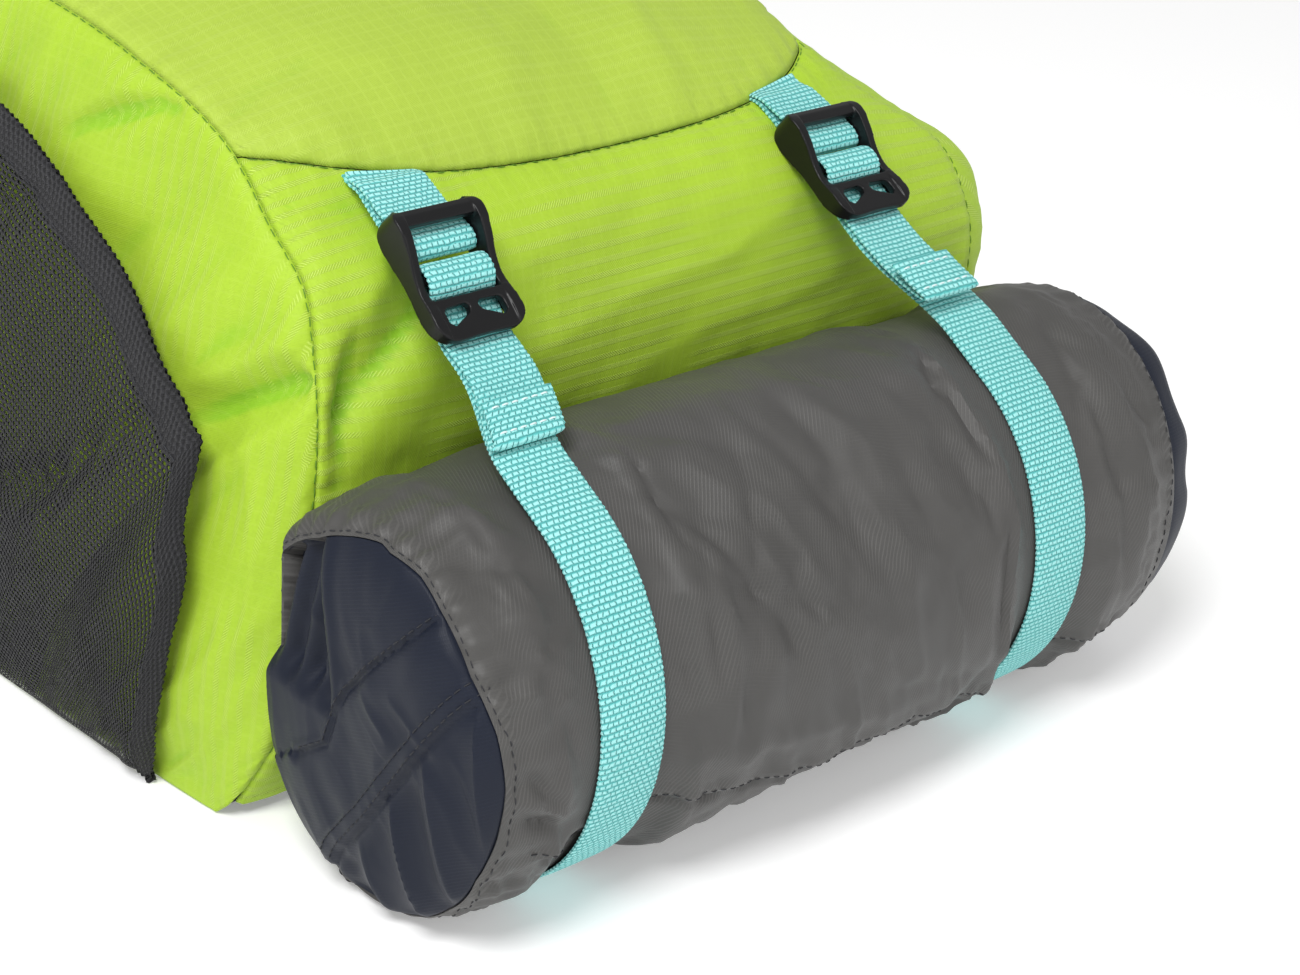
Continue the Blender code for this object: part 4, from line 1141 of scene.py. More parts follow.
def finish_of(name):
    """The pack's finishes, each made once from the settings."""
    if name in FINISHES:
        return FINISHES[name]
    cloth, roll, web = settings("cloth"), settings("roll"), settings("webbing")
    pocket, moulded, harness = settings("pocket"), settings("moulded"), settings("harness")
    lime, line, pitch = cloth.lime, cloth.lime_line, cloth.ripstop_pitch * 1000.0
    hole, row = pocket.hole_pitch * 1000.0, roll.row_pitch * 1000.0
    rib, cell = web.rib_pitch * 1000.0, web.cell * 1000.0
    makers = {
        "lime": lambda: ripstop_cloth("lime_cloth", lime, line, pitch),
        "side_lime": lambda: ripstop_cloth("side_lime_cloth", lime, line, pitch, rows=0.70, pairs=0.8),
        "pale_lime": lambda: ripstop_cloth(
            "pale_lime_cloth", cloth.pale_lime, line, pitch, rows=0.35, pairs=1.2
        ),
        "mesh": lambda: mesh_cloth("charcoal_mesh", pocket.mesh, pocket.hem_width, hole),
        "webbing": lambda: webbing_cloth(
            "turquoise_webbing", web.turquoise, web.deep, web.pale, rib, cell
        ),
        "grey": lambda: fine_cloth("grey_cloth", roll.grey, row, rows=1.0, gloss=0.36),
        "navy": lambda: fine_cloth("navy_cloth", roll.navy, row, rows=0.35, gloss=0.22),
        "black": lambda: moulded_plastic("black_plastic", moulded.black, moulded.roughness),
        "padding": lambda: padded_cloth("dark_padding", harness.padding, pitch=0.9),
        "green_thread": lambda: thread("green_thread", cloth.lime_thread),
        "dark_thread": lambda: thread("dark_thread", roll.dark_thread),
        "pale_thread": lambda: thread("pale_thread", shade(web.pale, 1.5)),
    }
    FINISHES[name] = makers[name]()
    return FINISHES[name]


# Green cloth panels


# Folds of the left side panel, in millimetres: round its seam from the lower back edge, down from the
# seam, then turn, length, width, depth and lean.
SIDE_FOLDS = (
    (131, 22, 65, 56, 4.6, -5.4, 0.3),
    (140, 20, 65, 52, 5.0, 4.4, 0.0),
    (121, 26, 74, 44, 5.0, 2.8, 0.0),
    (216, 14, 41, 40, 3.6, -3.6, 0.0),
    (223, 12, 46, 36, 4.5, 2.6, 0.0),
    (166, 34, 72, 56, 7.0, 2.6, 0.4),
    (190, 30, 60, 60, 9.0, -1.8, 0.0),
    (212, 22, 78, 40, 8.0, 1.2, 0.0),
    (266, 18, 100, 46, 7.0, -1.2, 0.2),
    (296, 26, 100, 50, 8.0, 1.3, 0.0),
    (142, 60, 80, 40, 6.0, 1.4, 0.3),
    (118, 40, 84, 60, 8.0, -1.4, 0.0),
    (100, 22, 10, 70, 5.0, 1.2, 0.0),
    (70, 40, 82, 60, 7.0, 1.3, 0.0),
    (44, 60, 88, 60, 6.0, -1.2, 0.0),
)

# Folds of the front, in millimetres: across from the middle and round from the lower back edge.
FRONT_FOLDS = (
    (-80, 121, 40, 56, 7.0, -6.4, 0.5),
    (-87, 132, 40, 56, 6.0, 3.4, 0.0),
    (-84, 176, 10, 34, 5.0, 1.6, 0.0),
    (-78, 196, 14, 40, 5.0, -1.1, 0.0),
    (-82, 160, -20, 44, 7.0, -1.6, 0.0),
    (-92, 148, 70, 40, 4.0, 1.4, 0.0),
    (-93, 112, 74, 46, 6.0, -4.2, 0.3),
    (-18, 176, 86, 60, 12.0, 1.3, 0.0),
    (10, 186, 92, 60, 12.0, -1.2, 0.0),
    (34, 176, 84, 50, 10.0, 1.2, 0.0),
    (96, 206, 30, 40, 6.0, 1.4, 0.0),
    (104, 188, 38, 40, 5.0, -1.4, 0.0),
    (108, 174, 20, 44, 6.0, 1.6, 0.0),
    (-84, 292, -28, 60, 7.0, 1.1, 0.0),
    (-66, 310, -22, 70, 8.0, -0.9, 0.0),
    (-88, 330, -60, 60, 8.0, 1.0, 0.0),
    (40, 330, 12, 120, 16.0, 1.2, 0.0),
    (-10, 380, -8, 120, 18.0, -1.4, 0.0),
    (30, 440, 10, 120, 16.0, 1.2, 0.0),
    (-40, 500, -14, 110, 16.0, -1.2, 0.0),
    (44, 560, 16, 110, 14.0, 1.2, 0.0),
)


# Swell low on the right side panel: its height, then middle and spread round the seam and down from it
LOW_SWELL = 0.0125
LOW_SWELL_ROUND = (0.150, 0.045)
LOW_SWELL_DOWN = (0.011, 0.0090)

SEAM_REACH = 0.0020
SEAM_TUCK = 0.8
GATHER_BEAT = 0.0062
GATHER_HEIGHT = 0.00066

# Where the strip's panels and the side panels start and end, in shares round the outline
STRIP_START = 0.004
STRIP_END = 0.994
SIDE_START = 0.010
SIDE_END = 0.990
SIDE_SPREAD = 1.15
THREAD_INSET = 0.0004


def seam_dip(distance, depth):
    """Valley along a seam, at a distance from it."""
    return -depth * bell(distance, SEAM_REACH, 1.3)


def pucker(distance, along, seed):
    """Small gathers that a seam's thread draws into the cloth."""
    beat = GATHER_BEAT + 0.0006 * noise(along / 0.03, along * 0, seed)
    ripple = np.sin(2 * math.pi * along / beat) + 0.5 * noise(along / 0.0035, along * 0 + 3, seed)
    return GATHER_HEIGHT * ripple * np.exp(-distance / 0.0060) * smooth(distance / 0.001)


def strip_face(s, c):
    """The bag's front strip with its folds, seam valleys and gathers."""
    cloth = settings("cloth")
    base = strip_point(s, c)
    half = np.where(c < 0, outline(s)[2], outline(s)[3])
    x, q = c * half, s * OUTLINE_LENGTH + 0.0 * c
    soft = creases(x, q, FRONT_FOLDS)
    large, small = crumple(x, q, 0.020, 11, 12.0, 2.6), crumple(x, q, 0.008, 12, 70.0, 2.2)
    soft = soft + 0.00055 * large + 0.00022 * small
    to_edge = (1 - np.abs(c)) * half
    inner = smooth(to_edge / 0.012)
    to_seam = np.abs(s - front_seam(c)) * OUTLINE_LENGTH
    quiet = smooth(to_seam / 0.010) * inner
    lift = soft * quiet * cloth.fold_strength
    lift = lift + pucker(to_edge, q, 21) + pucker(to_seam, x, 22)
    lift = lift + 0.75 * seam_dip(to_seam, cloth.seam_dip)
    out = outward(s, c)
    point = base + out * lift[..., None]
    dip = seam_dip(to_edge, cloth.seam_dip)[..., None]
    sideways = np.sign(c)[..., None] * np.array([1.0, 0.0, 0.0])
    return point + dip * (out + sideways) * SEAM_TUCK, joined(x, q)


def side_face(side, a, b):
    """A side panel with its folds, from the seam valley down to the back edge."""
    cloth = settings("cloth")
    base = side_point(side, a, b)
    q, d = a * OUTLINE_LENGTH + 0.0 * b, side_reach(a) * b
    seed = 40 if side < 0 else 60
    if side < 0:
        soft = creases(q, d, SIDE_FOLDS)
    else:
        (middle, spread), (low, fade) = LOW_SWELL_ROUND, LOW_SWELL_DOWN
        soft = LOW_SWELL * bell(q - middle, spread) * bell(d - low, fade)
    large, small = crumple(q, d, 0.026, seed, 80.0, 2.0), crumple(q, d, 0.010, seed + 1, 60.0, 2.0)
    soft = soft + 0.0011 * large + 0.0003 * small
    floor = smooth((1 - b) * side_reach(a) / 0.010)
    lift = soft * smooth(d / 0.006) * floor * cloth.fold_strength + pucker(d, q, seed + 2)
    out = outward(a, b)
    sideways = np.array([side, 0.0, 0.0])
    dip = seam_dip(d, cloth.seam_dip)[..., None]
    point = base + sideways * lift[..., None] + dip * (out + sideways) * SEAM_TUCK
    return point, joined(point[..., 2], point[..., 1])


class PACK_OT_green_panels(Operator):
    """Builds the green cloth of the bag: lower front, upper front, lid and both sides."""

    bl_idname = "pack.green_panels"
    bl_label = "Green panels"

    def execute(self, context):
        across = np.linspace(-1.0, 1.0, 97)[None, :]
        half_gap = 0.5 * GAP / OUTLINE_LENGTH
        down = np.linspace(0.0, 1.0, 113)[:, None]
        low = STRIP_START + (front_seam(across) - half_gap - STRIP_START) * down
        grid, uv = strip_face(low, across + 0 * low)
        self.panel("front_lower_panel", grid, uv, "lime", (0, -1, 0.4), "lime_cloth")
        start = front_seam(across) + half_gap
        down = np.linspace(0.0, 1.0, 221)[:, None]
        high = start + (LID_SEAM_SHARE - start) * down
        grid, uv = strip_face(high, across + 0 * high)
        self.panel("front_upper_panel", grid, uv, "pale_lime", (0, 0, 1), "pale_lime_cloth")
        self.lid(across)
        for name, side in (("left", -1), ("right", 1)):
            a = np.linspace(SIDE_START, SIDE_END, 331)[:, None]
            b = (np.linspace(0.0, 1.0, 61) ** SIDE_SPREAD)[None, :]
            grid, uv = side_face(side, a, b)
            self.panel(f"side_panel_{name}", grid, uv, "side_lime", (side, 0, 0), "lime_cloth")
        self.seams()
        return {"FINISHED"}

    def lid(self, across):
        """The lid lies over the end of the front, and past it its edges settle into the side seams."""
        rows = np.linspace(LID_SEAM_SHARE - LID_OVERLAP_SHARE, STRIP_END, 113)[:, None]
        half = outline(rows)[2]
        to_edge = (1 - np.abs(across)) * half
        past = smooth((rows - LID_SEAM_SHARE + 0.001) / 0.005)
        near = 1 - smooth(to_edge / 0.012)
        base = strip_point(rows, across, (WALL + GAP + LID_STAND) * (1 - past * near))
        sideways = np.sign(across)[..., None] * np.array([1.0, 0.0, 0.0])
        dip = (seam_dip(to_edge, settings("cloth").seam_dip) * past)[..., None]
        x, q = across * half, rows * OUTLINE_LENGTH + 0 * across
        ripple = 0.0008 * crumple(x, q, 0.022, 31, 8.0, 2.6) * smooth((1 - np.abs(across)) / 0.06)
        grid = base + outward_normals(base, (0, 1, 1)) * ripple[..., None]
        grid = grid + dip * (outward(rows, across) + sideways) * SEAM_TUCK
        uv = joined(x, q)
        self.panel("top_lid", grid, uv, "pale_lime", (0, 1, 1), "pale_lime_cloth")

    def panel(self, name, grid, uv, finish, facing, slot):
        wall = settings("cloth").cloth_wall
        SURFACES[name] = Surface(grid, facing)
        made = cloth_sheet(name + "_cloth", grid, uv, wall, finish_of(finish), facing)
        stand_for(name)
        laid_out(grid)

    def seams(self):
        """Stitches down in the side seams and the seam across the front, and along the lid's free edge."""
        lines = []
        a = np.linspace(0.03, 0.97, 700)
        for name in ("left", "right"):
            b = (THREAD_INSET / side_reach(a)) ** (1 / SIDE_SPREAD)
            lines.append(SURFACES["side_panel_" + name].at((a - SIDE_START) / (SIDE_END - SIDE_START), b))
        c = np.linspace(-0.97, 0.97, 300)
        low_length = (front_seam(c) - STRIP_START) * OUTLINE_LENGTH
        lines.append(SURFACES["front_lower_panel"].at(1 - THREAD_INSET / low_length, (c + 1) / 2))
        lid = (STRIP_END - LID_SEAM_SHARE + LID_OVERLAP_SHARE) * OUTLINE_LENGTH
        for inset in (0.0020, 0.0080):
            lines.append(SURFACES["top_lid"].at(inset / lid, (c + 1) / 2))
        sew("green_stitches", lines, finish_of("green_thread"), 0.0028, 0.0007, 0.00034)


# Mesh pockets

# Folds of a pocket, in millimetres: round from the lower back edge, down from the seam.
POCKET_FOLDS = (
    (158, 71, 66, 64, 4.5, -4.6, 0.2),
    (151, 76, 66, 64, 5.0, 3.4, 0.0),
    (189, 111, 45, 80, 4.5, -4.4, 0.2),
    (183, 118, 45, 80, 5.0, 3.2, 0.0),
    (251, 60, 38, 80, 4.5, -4.4, 0.2),
    (246, 67, 38, 80, 5.0, 3.2, 0.0),
    (196, 110, 96, 120, 6.0, -2.2, 0.3),
    (262, 90, 100, 110, 7.0, -1.8, 0.0),
    (276, 100, 98, 110, 8.0, 1.6, 0.0),
    (150, 100, 70, 90, 8.0, 1.4, 0.0),
    (120, 110, 74, 80, 8.0, -1.2, 0.0),
    (330, 90, 98, 100, 12.0, 1.5, 0.0),
)


POCKET_ROWS = 201
POCKET_COLUMNS = 61


def pocket_face(side):
    """A pocket's grid from its hem inward, with the way along the hem and in from it in metres."""
    hem = spline(POCKET_HEM, POCKET_ROWS)
    a = hem[:, 0:1]
    top = np.clip(hem[:, 1:2], 0.0, POCKET_NARROWEST)
    if side < 0:
        top = top + 0.030 * bell(a - 0.156, 0.012) - 0.026 * bell(a - 0.176, 0.008)
    w = np.linspace(0.0, 1.0, POCKET_COLUMNS)[None, :]
    b = top + (1.0 - top) * w
    loose = hem[:, 2:3]
    stand = POCKET_STAND * loose * (1 - w) ** 1.5
    puff = POCKET_PUFF * np.sin(math.pi * w) ** 0.65 * np.sqrt(np.clip(loose, 0, 1)) * smooth((1 - top) * 3)
    q, d = a * OUTLINE_LENGTH + 0 * b, side_reach(a) * b
    folds = creases(q, d, POCKET_FOLDS) + 0.0006 * crumple(q, d, 0.018, 81, 95.0, 2.4)
    lift = MESH_WALL + 2.2 * GAP + stand + puff + folds * smooth((1 - w) * 8) * 0.8
    grid = side_point(side, a, b, lift)
    along = travel(grid[:, 0])[:, None]
    inward = np.array([travel(line) for line in grid])
    return grid, joined(along, inward)


class PACK_OT_mesh_pockets(Operator):
    """Builds both open mesh side pockets with their doubled hems."""

    bl_idname = "pack.mesh_pockets"
    bl_label = "Mesh pockets"

    def execute(self, context):
        pocket = settings("pocket")
        lines = []
        for name, side in (("left", -1), ("right", 1)):
            grid, uv = pocket_face(side)
            doubled = smooth((pocket.hem_width - uv[..., 1]) / 0.0006)
            wall = pocket.mesh_wall + (pocket.hem_wall - pocket.mesh_wall) * doubled
            grid = grid + outward_normals(grid, (side, 0, 0)) * (0.5 * doubled[..., None] * pocket.hem_wall)
            surface = Surface(grid, (side, 0, 0))
            places = np.arange(POCKET_COLUMNS)
            inset = np.array([np.interp(pocket.hem_width - 0.001, run, places) for run in uv[..., 1]])
            rows = np.arange(POCKET_ROWS) / (POCKET_ROWS - 1)
            lines.append(surface.at(rows, inset / (POCKET_COLUMNS - 1)))
            made = cloth_sheet(f"side_pocket_{name}_mesh", grid, uv, wall, finish_of("mesh"), (side, 0, 0))
            stand_for(f"side_pocket_{name}")
            laid_out(grid)
        sew("pocket_stitches", lines, finish_of("dark_thread"), 0.0024, 0.0010, 0.00045)
        return {"FINISHED"}


# The roll

ROLL_GIRTH = (ROLL_HALF_DEPTH + ROLL_HALF_HEIGHT) / 2
END_PUFF_RIGHT = 0.0058
EDGE_THREAD_INSET = 0.0009
# How far the navy ends reach in under the grey cloth, in shares of the end's radius
END_TUCK = 0.035

# How far out on the rounded end the grey cloth reaches: angle in degrees, and share of the end's radius.
# Columns: angle, share
LEFT_EDGE = (
    (0, 0.930),
    (50, 0.900),
    (74, 0.880),
    (88, 0.905),
    (103, 0.945),
    (108, 0.935),
    (121, 0.955),
    (133, 0.943),
    (154, 0.940),
    (172, 0.978),
    (188, 0.992),
    (203, 0.985),
    (219, 0.970),
    (237, 0.985),
    (262, 0.985),
    (300, 0.950),
    (360, 0.930),
)
# Columns: angle, share
RIGHT_EDGE = (
    (0, 0.96),
    (90, 0.955),
    (111, 0.950),
    (132, 0.965),
    (151, 0.970),
    (198, 0.985),
    (260, 0.98),
    (360, 0.96),
)

# Creases of the grey cloth, in millimetres: along the roll and round it from its back over the top, then
# turn, length, width, depth and lean.
ROLL_CREASES = (
    (-34, 141, 60, 52, 3.6, -1.7, 0.3),
    (-27, 128, 110, 44, 3.2, -1.4, 0.0),
    (-45, 152, 98, 42, 3.2, 1.2, 0.0),
    (-20, 150, 24, 38, 3.0, -1.1, 0.0),
    (-48, 118, 30, 44, 4.0, -1.1, 0.2),
    (-30, 104, 35, 60, 5.0, -1.2, 0.0),
    (-52, 170, 70, 44, 3.6, -1.3, 0.0),
    (-38, 176, 105, 40, 4.2, 1.0, 0.0),
    (5, 130, 82, 74, 5.0, -1.9, 0.3),
    (15, 140, 88, 60, 4.0, 1.3, 0.0),
    (-6, 122, 70, 50, 4.0, -1.0, 0.0),
    (2, 95, 16, 90, 6.0, 0.9, 0.0),
    (30, 150, 74, 56, 4.0, -1.2, 0.2),
    (42, 124, 64, 54, 4.0, -1.0, 0.0),
    (50, 112, 120, 44, 3.6, -0.8, 0.0),
    (58, 146, 96, 44, 3.4, 0.7, 0.0),
    (105, 150, 84, 78, 4.4, -2.0, 0.3),
    (115, 140, 78, 60, 4.0, 1.4, 0.0),
    (99, 122, 104, 54, 3.6, -1.4, 0.0),
    (110, 118, 60, 44, 3.4, -1.1, 0.0),
    (-98, 118, 30, 32, 3.0, -1.5, 0.0),
    (-96, 104, 58, 38, 3.4, 1.3, 0.0),
    (-100, 138, -16, 30, 3.0, -1.4, 0.0),
    (-95, 160, 68, 32, 3.2, -1.6, 0.0),
    (-101, 150, 20, 24, 2.8, 1.0, 0.0),
    (-96, 184, 24, 36, 2.8, -2.8, 0.0),
    (-97, 179, 28, 34, 3.0, 2.2, 0.0),
    (-101, 174, 46, 30, 2.8, -2.4, 0.0),
    (-20, 182, 6, 80, 4.0, 1.2, 0.0),
    (40, 186, 12, 70, 4.0, -1.1, 0.0),
    (70, 96, 92, 60, 5.0, -1.0, 0.0),
    (-60, 88, 80, 60, 5.0, -1.0, 0.0),
)
# The seam along the roll's underside. Columns: along in millimetres, angle in degrees
ROLL_SEAM = (
    (-102, 214),
    (-94, 216),
    (-52, 215),
    (-14, 219),
    (22, 217),
    (60, 226),
    (80, 230),
    (96, 224),
    (116, 222),
)


def edge_share(side, angles):
    """How far out on a rounded end the grey cloth reaches at the angles."""
    rows = np.array(LEFT_EDGE if side < 0 else RIGHT_EDGE, float)
    return np.interp(angles % 360.0, rows[:, 0], rows[:, 1])


def dome(side, shares, angles, lift=0.0):
    """The roll's rounded end: share 1 at its rim and 0 at its middle."""
    x0 = ROLL_LEFT_X if side < 0 else ROLL_RIGHT_X
    y, z = roll_section(np.full_like(shares * angles, x0), angles, -lift * shares**4)
    y = y * shares
    z = ROLL_HALF_HEIGHT + (z - ROLL_HALF_HEIGHT) * shares
    y, z = pressed(y, z)
    rise = ROLL_END_RISE_LEFT if side < 0 else ROLL_END_RISE_RIGHT
    rounding = (1 - shares**4) ** 0.5
    return joined(x0 + side * (rise + lift) * rounding, y, z)


def roll_skin(side, way, angles):
    """The grey cloth at a way beyond the rim: over the end where it is above 0, or back along the roll."""
    x0 = ROLL_LEFT_X if side < 0 else ROLL_RIGHT_X
    over = dome(side, np.clip(1 - np.maximum(way, 0) / ROLL_GIRTH, 0.0, 1.0), angles, 0.0003)
    xs = np.broadcast_to(x0 + side * np.minimum(way, 0), np.broadcast(way, angles).shape)
    y, z = pressed(*roll_section(xs, angles))
    along = joined(xs, y, z)
    return np.where((way > 0)[..., None] & np.ones_like(along, bool), over, along)


ROLL_ANGLES = np.linspace(0.0, 360.0, 241)
# Columns of the roll's grid: down its front, where lengths are read, and beside its underside seam
FRONT_COLUMN = 160
SEAM_COLUMN = 145
EDGE_ROWS = np.linspace(0.0, 1.0, 17) ** 1.25
EDGE_ZONE = 0.012


def edge_zone(side, angles):
    """From the grey cloth's free edge on the end, back over the rim and a little along the roll."""
    start = (1 - edge_share(side, angles)) * ROLL_GIRTH
    way = start + (-EDGE_ZONE - start) * EDGE_ROWS[:, None]
    return roll_skin(side, way, angles + 0 * way), start - way


def roll_grid():
    """The roll's grey cloth as rings from left to right, each point's distance from its edge, and UVs."""
    angles = ROLL_ANGLES[None, :]
    left, left_way = edge_zone(-1, angles)
    right, right_way = edge_zone(1, angles)
    xs = np.linspace(ROLL_LEFT_X + EDGE_ZONE, ROLL_RIGHT_X - EDGE_ZONE, 163)[1:-1, None]
    y, z = pressed(*roll_section(xs + 0 * angles, angles + 0 * xs))
    body = joined(xs, y, z)
    to_edge = np.minimum(xs - ROLL_LEFT_X, ROLL_RIGHT_X - xs) + 0.003 + 0 * angles
    grid = np.concatenate([left, body, right[::-1]])
    away = np.concatenate([left_way, to_edge, right_way[::-1]])
    round_way = np.radians(angles) * ROLL_GIRTH + 0 * away
    along = travel(grid[:, FRONT_COLUMN])[:, None] + 0 * away
    return grid, away, joined(round_way, along), angles


def seam_off(xs, angles):
    """Distance round the roll from its underside seam, above 0 below the seam."""
    line = np.array(ROLL_SEAM, float)
    return np.radians(angles - np.interp(xs * 1000.0, line[:, 0], line[:, 1])) * ROLL_GIRTH


def roll_lift(grid, away, angles):
    """How far the grey cloth stands off its plain form: creases, wrinkles, edge gathers and the seam."""
    depth = settings("roll").wrinkle_depth
    xs = grid[..., 0]
    round_way = np.radians(angles) * ROLL_GIRTH + 0 * xs
    free = 1 - 0.9 * np.clip(strap_hold(xs), 0.0, 1.0)
    lift = 1.15 * creases(xs, round_way, ROLL_CREASES)
    lift = lift + depth * crumple(xs, round_way, 0.016, 101, 68.0, 2.2)
    small = 0.40 + 0.60 * smooth((angles - 140.0) / 30.0)
    lift = lift + small * depth * crumple(xs, round_way, 0.0075, 103, 74.0, 2.2)
    front = 0.35 + 0.65 * smooth((angles - 88.0) / 30.0)
    lift = lift * free * front * smooth(away / 0.010 + 0.15)
    gather = np.sin(2 * math.pi * round_way / 0.0086 + 1.8 * noise(round_way / 0.019, xs * 0, 5))
    gather = gather + 0.7 * noise(round_way / 0.0046, away / 0.02, 6)
    tight = np.where(xs < 0, 0.00080, 0.00034)
    lift = lift + tight * gather * np.exp(-away / 0.0090) * smooth(away / 0.0016) * free
    lift = lift - 0.0007 * np.exp(-away / 0.0012)
    off = seam_off(xs, angles)
    under = smooth((away - 0.010) / 0.006)
    lift = lift - 0.0016 * bell(off, 0.0011) * under
    lift = lift - 0.0007 * smooth(off / 0.0006) * smooth((0.02 - off) / 0.012) * under
    lift = lift + 0.0006 * bell(off + 0.0028, 0.0018) * under
    return lift


def line_gap(y, z, points):
    """Signed distance in metres from (y, z) to a line through the points, and the way along it."""
    best = np.full(np.broadcast(y, z).shape, 1.0)
    signed, way = best.copy(), best * 0
    done = 0.0
    for (ay, az), (by, bz) in zip(points, points[1:]):
        dy, dz = (by - ay) * MM, (bz - az) * MM
        length = math.hypot(dy, dz)
        t = ((y - ay * MM) * dy + (z - az * MM) * dz) / length**2
        held = np.clip(t, 0.0, 1.0)
        gy, gz = y - ay * MM - held * dy, z - az * MM - held * dz
        far = np.hypot(gy, gz)
        cross = (dy * gz - dz * gy) / length
        signed = np.where(far < best, np.where(cross < 0, -far, far), signed)
        way = np.where(far < best, done + held * length, way)
        best = np.minimum(best, far)
        done += length
    return signed, way


# Lines on the left end, in millimetres: back from the roll's axis, and up. Columns: y, z
END_UPPER_SEAM = ((-29, 96), (-19, 84), (-10, 74), (0, 62), (4, 54), (7, 44), (18, 36))
END_LOWER_SEAM = ((-43, 86), (-34, 73), (-28, 64), (-17, 47), (-8, 33), (5, 16), (8, 10))
END_OVERLAP = ((16, 100), (15, 93), (10, 77), (7, 66), (4, 53))


def end_height(y, z):
    """Relief of the left end: its overlap, its two seams and the soft folds between and under them."""
    upper, upper_way = line_gap(y, z, END_UPPER_SEAM)
    lower, lower_way = line_gap(y, z, END_LOWER_SEAM)
    fold, _ = line_gap(y, z, END_OVERLAP)
    high = smooth((z - 0.050) / 0.010)
    behind = smooth(fold / 0.0018) * high
    height = -0.0046 * behind + 0.0010 * bell(fold + 0.0016, 0.0018) * high
    height = height + 0.0016 * behind * np.sin(2 * math.pi * (y + 0.12 * z) / 0.0085 + 0.6)
    height = height + 0.0006 * bell(upper - 0.0010, 0.0012)
    height = height - 0.0006 * bell(upper + 0.0006, 0.0007)
    between = smooth(-upper / 0.004) * smooth(lower / 0.004)
    slow = noise(upper_way / 0.030, upper / 0.050, 71)
    height = height + between * (0.0007 + 0.0008 * slow)
    height = height + between * 0.0003 * np.sin(2 * math.pi * (lower_way + 0.35 * lower) / 0.021 + 2.0 * slow)
    band = bell(lower, 0.0024, 6)
    height = height + 0.0011 * band - 0.0007 * bell(lower + 0.0031, 0.0008)
    under = smooth(-(lower + 0.0025) / 0.006)
    bend = noise(y / 0.020, z / 0.060, 73)
    folds = 1 - 2 * np.abs(np.sin(math.pi * (y - 0.18 * z) / 0.0125 + 0.9 * bend)) ** 0.8
    height = height + under * (0.0013 * folds * smooth((0.050 + lower) / 0.02) + 0.0008 * bend - 0.0004)
    return height + 0.0004 * crumple(y, z, 0.009, 133, 60.0, 2.4)


